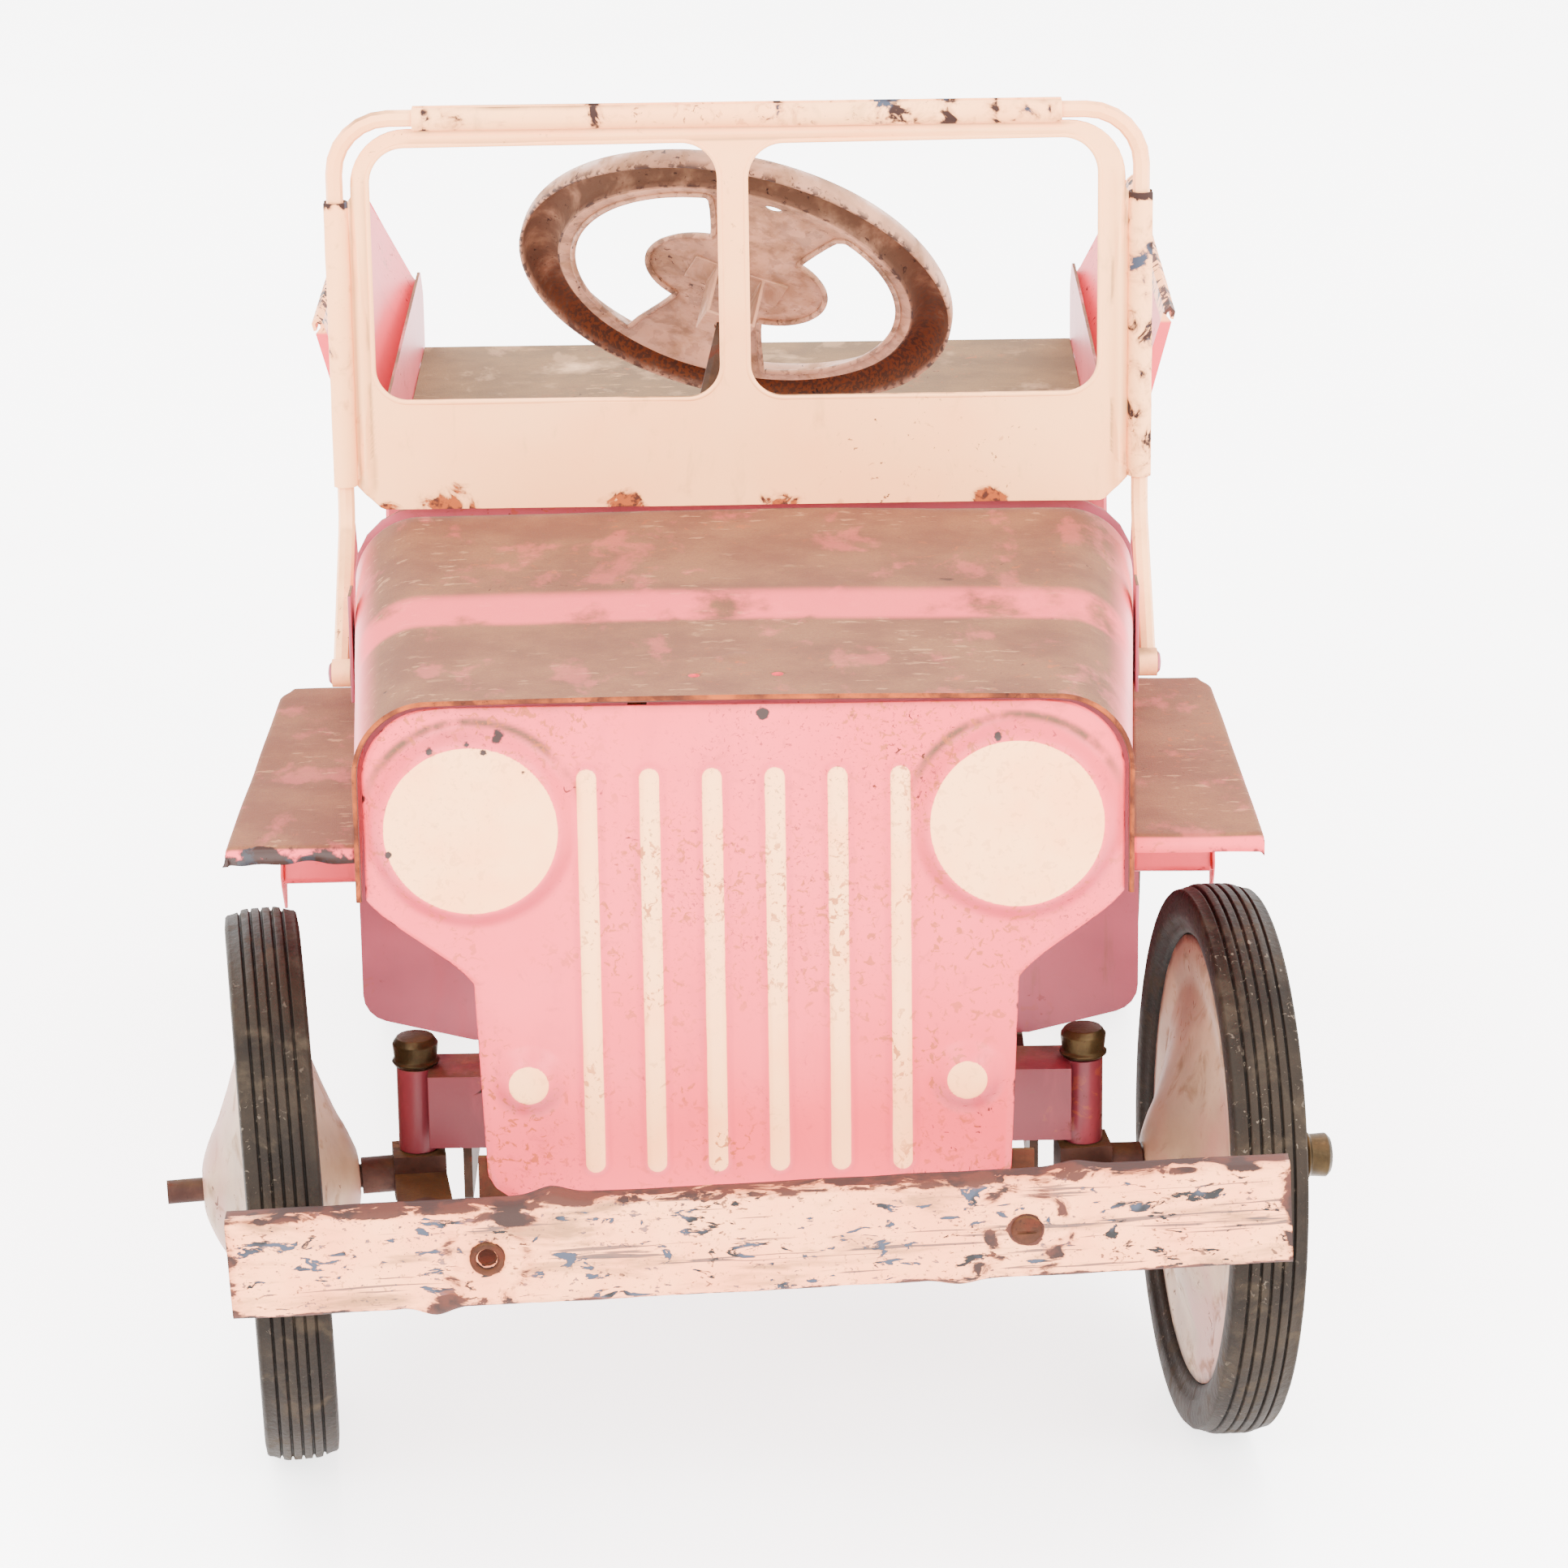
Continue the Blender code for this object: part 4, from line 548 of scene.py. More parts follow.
def add_from_axle(name, mesh, material, body):
    """The same, for a mesh whose Y is counted from the front axle."""
    mesh.transform(Matrix.Translation((0.0, FRONT, 0.0)))
    return add(name, mesh, material, body)


def mesh_of(work, name):
    bmesh.ops.recalc_face_normals(work, faces=work.faces)
    mesh = bpy.data.meshes.new(name)
    work.to_mesh(mesh)
    work.free()
    return mesh


def skin(name, rows, closed=False, looped=False):
    """Sheet from rows of points; closed joins a row's ends, looped joins the rows."""
    work = bmesh.new()
    grid = [[work.verts.new(point) for point in row] for row in rows]
    if looped:
        grid.append(grid[0])
    for upper, lower in zip(grid, grid[1:]):
        count = len(upper)
        for i in range(count if closed else count - 1):
            j = (i + 1) % count
            work.faces.new((upper[i], upper[j], lower[j], lower[i]))
    if looped:
        bmesh.ops.remove_doubles(work, verts=work.verts, dist=0.00001)
    return mesh_of(work, name)


def paint_points(mesh, name, share):
    """Stores a 0..1 share on each point, from its place."""
    layer = mesh.attributes.new(name, "FLOAT", "POINT")
    layer.data.foreach_set("value", [float(share(v.co)) for v in mesh.vertices])


def thicken(obj, thickness, offset=-1.0):
    step = obj.modifiers.new("thickness", "SOLIDIFY")
    step.thickness = thickness
    step.offset = offset


def soften(obj, width):
    step = obj.modifiers.new("edges", "BEVEL")
    step.width = width
    step.segments = 2
    step.limit_method = "ANGLE"
    step.angle_limit = math.radians(30.0)
    step.use_clamp_overlap = True
    obj.modifiers.new("normals", "WEIGHTED_NORMAL").keep_sharp = True


def smooth_step(value, low, high):
    share = min(1.0, max(0.0, (value - low) / (high - low)))
    return share * share * (3.0 - 2.0 * share)


def fall(value, low, high):
    return 1.0 - smooth_step(value, low, high)


def spread(low, high, count):
    return [low + (high - low) * i / (count - 1) for i in range(count)]


def wobble(x, y, z, scale, depth):
    """Soft random height, the same each time."""
    return noise.noise(Vector((x, y, z)) * scale) * depth


def turned(name, profile, segments=96, closed=True):
    """Body of revolution about X from (x, radius) points."""
    rows = []
    for i in range(segments):
        angle = 2.0 * math.pi * i / segments
        rows.append([(x, r * math.sin(angle), r * math.cos(angle)) for x, r in profile])
    return skin(name, rows, closed, True)


def arc(centre, radius, start, end, steps):
    points = []
    for i in range(steps + 1):
        angle = math.radians(start + (end - start) * i / steps)
        points.append((centre[0] + radius * math.cos(angle), centre[1] + radius * math.sin(angle)))
    return points


def circle(centre, radius, count):
    return arc(centre, radius, 0.0, 360.0, count)[:-1]


def rounded_loop(points):
    """Corner cutting, so that a loop has no sharp points."""
    for _ in range(2):
        cut = []
        for a, b in zip(points, points[1:] + points[:1]):
            cut.append((a[0] * 0.75 + b[0] * 0.25, a[1] * 0.75 + b[1] * 0.25))
            cut.append((a[0] * 0.25 + b[0] * 0.75, a[1] * 0.25 + b[1] * 0.75))
        points = cut
    return points


def fillet(corners, steps=8):
    """Outline from (x, y, radius) corners, each rounded by an arc."""
    points = []
    count = len(corners)
    for i, (x, y, radius) in enumerate(corners):
        if radius <= 0.0:
            points.append((x, y))
            continue
        corner = Vector((x, y))
        before = (Vector(corners[i - 1][:2]) - corner).normalized()
        after = (Vector(corners[(i + 1) % count][:2]) - corner).normalized()
        half = before.angle(after) / 2.0
        centre = corner + (before + after).normalized() * (radius / math.sin(half))
        first = corner + before * (radius / math.tan(half)) - centre
        sweep = first.angle_signed(corner + after * (radius / math.tan(half)) - centre)
        for step in range(steps + 1):
            points.append(tuple(centre + Matrix.Rotation(-sweep * step / steps, 2) @ first))
    return points


def traced(name, loops, flat, radius=0.0, cyclic=True):
    """Mesh of a filled outline with holes, or of a round bead along points."""
    data = bpy.data.curves.new(name, "CURVE")
    data.dimensions = "2D" if flat else "3D"
    if flat:
        data.fill_mode = "BOTH"
    else:
        data.bevel_depth = radius
        data.bevel_resolution = 4
        data.use_fill_caps = True
    for points in loops:
        spline = data.splines.new("POLY")
        spline.points.add(len(points) - 1)
        for point, place in zip(spline.points, points):
            point.co = (*place, 0.0, 1.0) if flat else (*place, 1.0)
        spline.use_cyclic_u = cyclic
    obj = bpy.data.objects.new(name + "_path", data)
    bpy.context.scene.collection.objects.link(obj)
    mesh = settled(obj)
    bpy.data.objects.remove(obj, do_unlink=True)
    return mesh


def settled(obj):
    """The object's mesh with its modifiers applied."""
    bpy.context.view_layer.update()
    graph = bpy.context.evaluated_depsgraph_get()
    return bpy.data.meshes.new_from_object(obj.evaluated_get(graph))


def outline_sheet(name, loops, pitch):
    """Flat sheet in XY of an outline with holes, cut by a fine grid."""
    work = bmesh.new()
    work.from_mesh(traced(name, loops, True))
    bmesh.ops.remove_doubles(work, verts=work.verts, dist=0.000005)
    for axis in (0, 1):
        low = min(v.co[axis] for v in work.verts)
        high = max(v.co[axis] for v in work.verts)
        normal = Vector((1.0 - axis, float(axis), 0.0))
        for i in range(1, int((high - low) / pitch)):
            work.normal_update()
            bmesh.ops.bisect_plane(work, geom=work.verts[:] + work.edges[:] + work.faces[:],
                                   dist=0.000004, plane_co=normal * (low + i * pitch),
                                   plane_no=normal)
    bmesh.ops.recalc_face_normals(work, faces=work.faces)
    if sum(f.normal.z for f in work.faces) < 0.0:
        bmesh.ops.reverse_faces(work, faces=work.faces)
    mesh = bpy.data.meshes.new(name)
    work.to_mesh(mesh)
    work.free()
    return mesh


def tube(name, points, radius, material, body, cyclic=False):
    """Round bead or wire along points."""
    return add(name, traced(name, [points], False, radius, cyclic), material, body)


def drill(piece, place, radius, sides):
    """Cuts a round hole through a piece, along the X axis of a matrix."""
    mesh = turned("drill", [(-DRILL_HALF, 0.0), (-DRILL_HALF, radius), (DRILL_HALF, radius),
                            (DRILL_HALF, 0.0)], sides)
    mesh.transform(place)
    cutter = bpy.data.objects.new("cutter", mesh)
    bpy.context.scene.collection.objects.link(cutter)
    step = piece.modifiers.new("cut", "BOOLEAN")
    step.operation = "DIFFERENCE"
    step.solver = "EXACT"
    step.object = cutter
    result = settled(piece)
    piece.modifiers.clear()
    piece.data = result
    bpy.data.objects.remove(cutter, do_unlink=True)


def cap_ends(mesh):
    """Closes the open ends of a swept ring."""
    work = bmesh.new()
    work.from_mesh(mesh)
    loops = [edge for edge in work.edges if edge.is_boundary]
    bmesh.ops.contextual_create(work, geom=loops[:len(loops) // 2])
    loops = [edge for edge in work.edges if edge.is_boundary]
    if loops:
        bmesh.ops.contextual_create(work, geom=loops)
    bmesh.ops.recalc_face_normals(work, faces=work.faces)
    work.to_mesh(mesh)
    work.free()


def around(x, z, spots, squash=1.0):
    """1 at any of the (x, z, reach) spots, falling to 0 at its reach."""
    return max(fall(math.hypot((x - cx) * squash, z - cz), 0.0, reach) for cx, cz, reach in spots)


# --------------------------------------------------------------------- hood
def hood_half(y):
    share = (y - HOOD_Y[0]) / (HOOD_Y[1] - HOOD_Y[0])
    return HOOD_HALF[0] + (HOOD_HALF[1] - HOOD_HALF[0]) * share


def hood_top(y):
    front = 0.3865 - 0.0004 * (HOOD_STEP[0] - y) / (HOOD_STEP[0] - HOOD_Y[0])
    rear = 0.3925 + 0.0030 * (y - HOOD_STEP[1]) / (HOOD_Y[1] - HOOD_STEP[1])
    share = smooth_step(y, *HOOD_STEP)
    return front + (rear - front) * share


def hood_section(half, top, corner=18, across=90):
    """Left bottom edge over the top to the right bottom edge, as (x, z)."""
    centre = (half - SHOULDER, top - SHOULDER)
    right = arc(centre, SHOULDER, 90.0, 0.0, corner)
    left = [(-x, z) for x, z in reversed(right)]
    flat = half - SHOULDER
    crown = []
    for x in spread(-flat, flat, across)[1:-1]:
        crown.append((x, top + 0.0014 * (1.0 - (x / flat) ** 2)))
    side = [(-half, z) for z in spread(HOOD_BOTTOM, top - SHOULDER, 14)[:-1]]
    return side + left + crown + right + [(-x, z) for x, z in reversed(side)]


def ridge(x, y, first, last, width):
    """1 on a straight crease, falling to 0 at its width."""
    a, b, p = Vector(first), Vector(last), Vector((x, y))
    along = (b - a).normalized()
    reach = min((b - a).length, max(0.0, (p - a).dot(along)))
    return fall((p - a - along * reach).length, 0.0, width)


def hood_relief(x, y):
    """Small stamped details on the flat top."""
    height = 0.0
    for side in (-1.0, 1.0):
        height += 0.0011 * ridge(x, y, (side * 0.048, 0.052), (side * 0.027, 0.010), 0.0028)
    height += 0.0010 * fall(math.hypot(x + 0.0016, y + 0.040), 0.003, 0.0085)
    return height + wobble(x, y, 0.3, 16.0, 0.0007) + wobble(x, y, 0.7, 45.0, 0.0002)


def make_hood(materials):
    rows = []
    for y in spread(HOOD_Y[0], HOOD_Y[1], 118):
        row = []
        for x, z in hood_section(hood_half(y), hood_top(y)):
            lift = hood_relief(x, y) if z > hood_top(y) - 0.004 else 0.0
            row.append((x, y, z + lift))
        rows.append(row)
    mesh = skin("hood_skin", rows)
    paint_points(mesh, "clean", lambda p: 0.9 * smooth_step(p.y, 0.013, 0.020)
                 * fall(p.y, 0.036, 0.048) * (p.z > 0.35))
    paint_points(mesh, "rust", lambda p: 0.75 * fall(p.y, HOOD_Y[0], HOOD_Y[0] + 0.004)
                 + 0.5 * fall(p.z, HOOD_BOTTOM, HOOD_BOTTOM + 0.004))
    piece = add_from_axle("hood_skin", mesh, materials["hood"], "chassis")
    thicken(piece, 0.0015)
    for x in HOOD_HOLES:
        drill(piece, Matrix.Translation((x, HOOD_HOLE_Y + FRONT, 0.386))
              @ Matrix.Rotation(math.radians(90.0), 4, "Y"), 0.0026, 24)
    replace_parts(piece, "hood")
    y = HOOD_Y[0] + 0.0004
    line = [(x, y + FRONT, z - 0.0002) for x, z in hood_section(hood_half(y), hood_top(y), 16, 40)]
    tube("hood_front_hem", line, 0.0011, materials["hem"], "chassis")


# ------------------------------------------------------------------- grille
def panel_half(z):
    """Half width of the grille panel at a height."""
    low, high, foot = 0.1195, 0.1655, 0.1155
    if z < 0.256:
        half = foot + (low - foot) * (z - PANEL_BOTTOM) / (0.256 - PANEL_BOTTOM)
        rise = z - PANEL_BOTTOM
        if rise < 0.010:
            half -= 0.010 - math.sqrt(max(0.0, 0.010 ** 2 - (0.010 - rise) ** 2))
        return half
    if z < 0.296:
        share = (z - 0.256) / 0.040
        eased = share + 0.10 * (share * (1.0 - share)) * (2.0 * share - 1.0) * 4.0
        return low + (high - low) * eased
    rise = z - (PANEL_TOP - SHOULDER)
    if rise <= 0.0:
        return high
    return high - SHOULDER + math.sqrt(max(0.0, SHOULDER ** 2 - rise ** 2))


def stripe_reach(x, z):
    """Distance from the middle line of the nearest stripe."""
    index = min(5, max(0, round(x / STRIPE_PITCH + 2.5)))
    dx = x - (index - 2.5) * STRIPE_PITCH
    dz = max(STRIPE_Z[0] - z, z - STRIPE_Z[1], 0.0)
    return math.hypot(dx, dz)


def lamp_reach(x, z, lamp):
    """Distance from the middle of the nearer one of a pair of lamps."""
    return math.hypot(abs(x) - lamp[0], z - lamp[1])


def panel_relief(x, z):
    height = 0.0024 * fall(stripe_reach(x, z), 0.0020, STRIPE_FOOT)
    reach = lamp_reach(x, z, HEADLIGHT)
    height += 0.0068 * fall(reach, 0.0372, HEADLIGHT_FOOT)
    height += 0.0006 * max(0.0, 1.0 - (reach / 0.038) ** 2)
    height += 0.0060 * fall(lamp_reach(x, z, LAMP), 0.0070, LAMP_FOOT)
    fold = (abs(x) - 0.0950) * 0.60 + (0.1680 - z) * 0.80
    height -= 0.0032 * smooth_step(fold, 0.0120, 0.0225)
    height -= 0.0012 * fall(panel_half(z) - abs(x), 0.0, 0.0035)
    return height + wobble(x, 0.2, z, 14.0, 0.0007) + wobble(x, 0.9, z, 50.0, 0.00015)


def panel_cream(x, z):
    """Cream on the crowns of the stripes, headlights and lamps."""
    return max(fall(stripe_reach(x, z), 0.0030, 0.0056),
               fall(lamp_reach(x, z, HEADLIGHT), 0.0366, 0.0390),
               fall(lamp_reach(x, z, LAMP), 0.0078, 0.0098))


def panel_dust(x, z):
    """Dust lies in the upper arc of each headlight's foot."""
    ring = fall(abs(lamp_reach(x, z, HEADLIGHT) - HEADLIGHT_FOOT), 0.0004, 0.0032)
    share = ring * smooth_step((z - HEADLIGHT[1]) / 0.047, 0.10, 0.75)
    return max(share * 0.95, 0.35 * fall(PANEL_TOP - z, 0.0, 0.004))


def panel_painted_shade(x, z):
    """Painted shade in the foot of each lamp, deepest on its lower side, and thin painted shade
    lines beside the stripes.
    """
    reach = lamp_reach(x, z, HEADLIGHT)
    ring = smooth_step(reach, 0.0376, 0.0400) * fall(reach, 0.0430, 0.0490)
    share = ring * (0.30 + 0.70 * smooth_step((HEADLIGHT[1] - z) / 0.04, -0.20, 0.80))
    reach = lamp_reach(x, z, LAMP)
    ring = smooth_step(reach, 0.0078, 0.0100) * fall(reach, 0.0120, LAMP_FOOT)
    lamp = ring * (0.12 + 0.80 * smooth_step((LAMP[1] - z) / 0.012, -0.30, 0.90))
    beside = abs(stripe_reach(x, z) - STRIPE_FOOT)
    return max(share, lamp, 0.28 * fall(beside, 0.0004, 0.0020))


def panel_rust(x, z):
    """Chips above the headlights and along the outline."""
    return max(0.42 * fall(panel_half(z) - abs(x), 0.0, 0.0030),
               0.40 * fall(z - PANEL_BOTTOM, 0.0, 0.0030), 0.72 * around(x, z, GRILLE_CHIPS))


def make_grille(materials):
    rows = []
    for z in spread(PANEL_BOTTOM, PANEL_TOP, 190):
        half = panel_half(z)
        rows.append([(half * t, PANEL_Y - 0.0008 - panel_relief(half * t, z), z)
                     for t in spread(-1.0, 1.0, 270)])
    mesh = skin("grille_skin", rows)
    for name, share in (("cream", panel_cream), ("dust", panel_dust), ("rust", panel_rust),
                        ("grime_and_shade", panel_painted_shade)):
        paint_points(mesh, name, lambda p: share(p.x, p.z))
    piece = add_from_axle("grille_skin", mesh, materials["grille"], "chassis")
    thicken(piece, 0.0012)
    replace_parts(piece, "grille_panel")


# --------------------------------------------------------------- windshield
def window(x0, x1):
    return fillet([(x0, SCREEN_BOTTOM + 0.0520, 0.0165), (x1, SCREEN_BOTTOM + 0.0520, 0.0165),
                   (x1, SCREEN_TOP - 0.0120, 0.0180), (x0, SCREEN_TOP - 0.0130, 0.0180)], 14)


def screen_relief(x, z):
    """Two upright ribs at each side and soft dents."""
    height = 0.0
    upright = smooth_step(z, SCREEN_BOTTOM + 0.004, SCREEN_BOTTOM + 0.012)
    upright *= fall(z, *RIB_TOP)
    height += 0.0028 * upright * fall(abs(abs(x) - 0.1778), 0.0, 0.0032)
    top = fall(abs(z - (SCREEN_TOP - 0.0088)), 0.0, 0.0026)
    height += 0.0012 * top * fall(abs(x), *FOLD_END)
    height += wobble(x, 0.4, z, 13.0, 0.0009)
    return height + wobble(x, 0.4, z, 40.0, 0.0002)


def screen_dark_lines(x, z):
    """Darker lines beside the ribs and under the top fold."""
    upright = smooth_step(z, SCREEN_BOTTOM + 0.006, SCREEN_BOTTOM + 0.014)
    upright *= fall(z, *RIB_TOP)
    share = 0.0
    for line in (0.1746, 0.1808):
        share = max(share, upright * fall(abs(abs(x) - line), 0.0002, 0.0011))
    for line in (0.0062, 0.0118):
        low = fall(abs(z - (SCREEN_TOP - line)), 0.0002, 0.0010)
        share = max(share, low * fall(abs(x), *FOLD_END) * 0.8)
    return share


def screen_rust(x, z):
    return max(0.22 * fall(z - SCREEN_BOTTOM, 0.0, 0.0060),
               0.62 * around(x, z, SCREEN_FOOT_RUST, 0.6),
               0.16 * smooth_step(z, SCREEN_TOP - 0.010, SCREEN_TOP - 0.005),
               (0.30 if x > 0.0 else 0.16) * smooth_step(abs(x), 0.176, 0.184))


def rail_rust(p):
    share = 0.22 + 0.08 * smooth_step(p.x, -0.05, 0.10)
    return max(share, 0.46 * max(fall(abs(p.x - x), 0.0, reach) for x, reach in RAIL_CHIPS))


def split_ring(centre, start):
    """C-shaped section of the sheet rolled round the rod."""
    outer, inner = ROD_R + 0.0020, ROD_R + 0.0005
    ring = arc(centre, outer, start, start + 310.0, 26)
    return ring + list(reversed(arc(centre, inner, start, start + 310.0, 26)))


def rolled(name, rows, rust, materials):
    mesh = skin(name, rows, closed=True)
    cap_ends(mesh)
    paint_points(mesh, "rust", rust)
    made = add_from_axle(name, mesh, materials["screen_edge"], "windshield")
    soften(made, 0.0004)


def make_windshield(materials):
    edge = SCREEN_HALF - 0.0052
    top = SCREEN_TOP - 0.0052
    cut = 0.012
    outline = fillet([(-edge + cut, SCREEN_BOTTOM, 0.006), (edge - cut, SCREEN_BOTTOM, 0.006),
                      (edge, SCREEN_BOTTOM + cut, 0.004), (edge, 0.5470, 0.002),
                      (edge - 0.0022, 0.5500, 0.003), (edge - 0.0022, top, 0.0265),
                      (-edge + 0.0022, top, 0.0265), (-edge + 0.0022, 0.5500, 0.003),
                      (-edge, 0.5470, 0.002), (-edge, SCREEN_BOTTOM + cut, 0.004)], 10)
    windows = [window(-0.1730, -0.0085), window(0.0035, 0.1690)]
    mesh = outline_sheet("windshield_skin", [outline] + windows, 0.0022)
    for vertex in mesh.vertices:
        x, z = vertex.co.x, vertex.co.y
        vertex.co = (x, SCREEN_Y - 0.0008 - screen_relief(x, z), z)
    paint_points(mesh, "rust", lambda p: screen_rust(p.x, p.z))
    paint_points(mesh, "grime_and_shade", lambda p: screen_dark_lines(p.x, p.z))
    piece = add_from_axle("windshield_skin", mesh, materials["screen"], "windshield")
    thicken(piece, 0.0016)
    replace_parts(piece, "windshield_panel")
    for index, loop in enumerate(windows):
        line = [(x, SCREEN_Y + FRONT - screen_relief(x, z), z) for x, z in loop]
        tube("window_bead_%d" % index, line, 0.0013, materials["screen"], "windshield",
             cyclic=True)
    for name, side, start, wear in (("left", -1.0, 205.0, 0.24), ("right", 1.0, 25.0, 0.35)):
        ring = split_ring((side * SCREEN_HALF, SCREEN_Y), start)
        rows = []
        for z in spread(SCREEN_BOTTOM + cut, SLEEVE_TOP, 60):
            puff = wobble(side, 0.1, z, 60.0, 0.0002)
            rows.append([(x + puff, y - puff, z) for x, y in ring])
        rolled("screen_sleeve_" + name, rows,
               lambda p: wear + 0.30 * fall(abs(p.z - SLEEVE_TOP), 0.0, 0.006), materials)
    ring = split_ring((SCREEN_Y, SCREEN_TOP), 115.0)
    rows = []
    for x in spread(-(edge - 0.032), edge - 0.032, 120):
        puff = wobble(x, 0.6, 0.5, 60.0, 0.0003)
        rows.append([(x, y - puff, z) for y, z in ring])
    rolled("screen_top_rail", rows, rail_rust, materials)


# ------------------------------------------------------------------- bumper
def bumper_place():
    x, y, z = BUMPER_MIDDLE
    return Matrix.Translation((x, y + FRONT, z)) @ Matrix.Rotation(-BUMPER_TILT, 4, "Y")


def bumper_bulge(x, side):
    """How far an edge is pushed out at x; side +1 is the top edge."""
    height = 0.0
    for place, size in BUMPER_BULGES[side > 0]:
        height += size * math.exp(-((x - place) / 0.0085) ** 2)
    return height + wobble(x, side, 0.5, 25.0, 0.0006) + wobble(x, side, 0.1, 130.0, 0.00012)


def make_bumper(materials):
    half = BUMPER_H / 2.0
    depth, round_r = 0.0128, 0.0036
    upper = arc((round_r, half - round_r), round_r, 180.0, 90.0, 6)
    section = [(depth, half)] + [(y, half) for y in spread(depth, round_r, 5)[1:-1]]
    section += list(reversed(upper))
    section += [(0.0, z) for z in spread(half - round_r, -half + round_r, 22)[1:-1]]
    section += [(y, -z) for y, z in upper]
    section += [(y, -half) for y in spread(round_r, depth, 5)[1:]]
    rows = []
    for x in spread(-BUMPER_LENGTH / 2.0, BUMPER_LENGTH / 2.0, 230):
        row = []
        for y, z in section:
            share = z / half
            push = bumper_bulge(x, 1.0 if share > 0.0 else -1.0) * abs(share) ** 3
            dent = wobble(x, 0.3, z, 22.0, 0.0012) + wobble(x, 0.3, z, 70.0, 0.0004)
            row.append((x, max(-0.0006, y + dent * (1.0 - y / depth) + 0.0006),
                        z + math.copysign(push, share) * min(1.0, abs(share) * 2.0)))
        rows.append(row)
    mesh = skin("bumper_skin", rows)

    def rust(p):
        share = max(0.42 * smooth_step(abs(p.x), BUMPER_LENGTH / 2 - 0.010, BUMPER_LENGTH / 2),
                    0.40 * smooth_step(abs(p.z), half - 0.0050, half - 0.0005),
                    0.50 * smooth_step(p.y, 0.003, 0.008),
                    0.46 * around(p.x, p.z, BUMPER_WEAR, 0.55))
        for hole in BUMPER_HOLES:
            halo = abs(math.hypot(p.x - hole, p.z * 0.8) - 0.017)
            share = max(share, 0.80 * fall(math.hypot(p.x - hole, p.z), 0.0045, 0.0105),
                        0.33 * fall(halo, 0.0, 0.010))
        return share

    paint_points(mesh, "rust", rust)
    piece = add("bumper_skin", mesh, materials["bumper"], "chassis", bumper_place())
    thicken(piece, 0.0016)
    for hole in BUMPER_HOLES:
        drill(piece, bumper_place() @ Matrix.Translation((hole, 0.0, 0.0))
              @ Matrix.Rotation(math.radians(90.0), 4, "Z"), 0.0043, 32)
    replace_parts(piece, "bumper")
    ring = [(x, -0.0004, z) for x, z in arc((BUMPER_HOLES[0], 0.0), 0.0062, 0.0, 350.0, 35)]
    line = [tuple(bumper_place() @ Vector(point)) for point in ring]
    tube("bumper_hole_rim", line, 0.0014, materials["rust"], "chassis", cyclic=True)


# ------------------------------------------------------------------- wheels
def axle_place(name, node):
    """Wheel matrix: +X along the joint's axis, at the middle of the tyre's box."""
    axis = next(joint["axis"] for joint in frame["joints"] if joint["name"] == name)
    low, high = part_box(node)
    turn = Vector(axis).to_track_quat("X", "Z").to_matrix().to_4x4()
    return Matrix.Translation((low + high) / 2.0) @ turn


def tread(x):
    """Tyre radius at x before the grooves."""
    edge = smooth_step(abs(x), TYRE_HALF * 0.35, TYRE_HALF * 0.92)
    return TYRE_R - 0.0024 * edge


def tread_groove(x):
    """0 on a rib, 1 in a groove; six ribs."""
    pitch = 2.0 * TREAD_HALF / 6.0
    if abs(x) > TREAD_HALF - pitch * 0.5:
        return 0.0
    offset = abs((x / pitch) - round(x / pitch)) * pitch
    return fall(offset, 0.00025, 0.00085)


def make_tyre(name, matrix, body, node, material):
    right = []
    for x in spread(0.0, TYRE_HALF * 0.90, 64):
        right.append((x, tread(x) - 0.0016 * tread_groove(x)))
    last_x, last_r = right[-1]
    right += [(last_x + 0.0010, last_r - 0.0010), (TYRE_HALF - 0.0003, TYRE_R - 0.0062),
              (TYRE_HALF, TYRE_R - 0.0085), (TYRE_HALF - 0.0002, TYRE_R - 0.0120),
              (TYRE_HALF - 0.0008, TYRE_R - 0.0155), (TYRE_HALF - 0.0018, TYRE_R - 0.0162),
              (TYRE_HALF * 0.80, TYRE_R - 0.0198), (TYRE_HALF * 0.72, TYRE_R - 0.0225)]
    left = [(-x, r) for x, r in right[1:]]
    mesh = turned(name, list(reversed(left)) + right, 128)
    paint_points(mesh, "groove", lambda p: tread_groove(p.x) * (math.hypot(p.y, p.z) > 0.118))
    for vertex in mesh.vertices:
        p = vertex.co
        reach = math.hypot(p.y, p.z)
        dent = wobble(p.x, p.y, p.z, 90.0, 0.00035) + wobble(p.x, p.y, p.z, 260.0, 0.0002)
        scale = (reach + min(0.0, dent)) / reach
        vertex.co = (p.x, p.y * scale, p.z * scale)
    piece = add(name, mesh, material, body, matrix)
    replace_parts(piece, node)


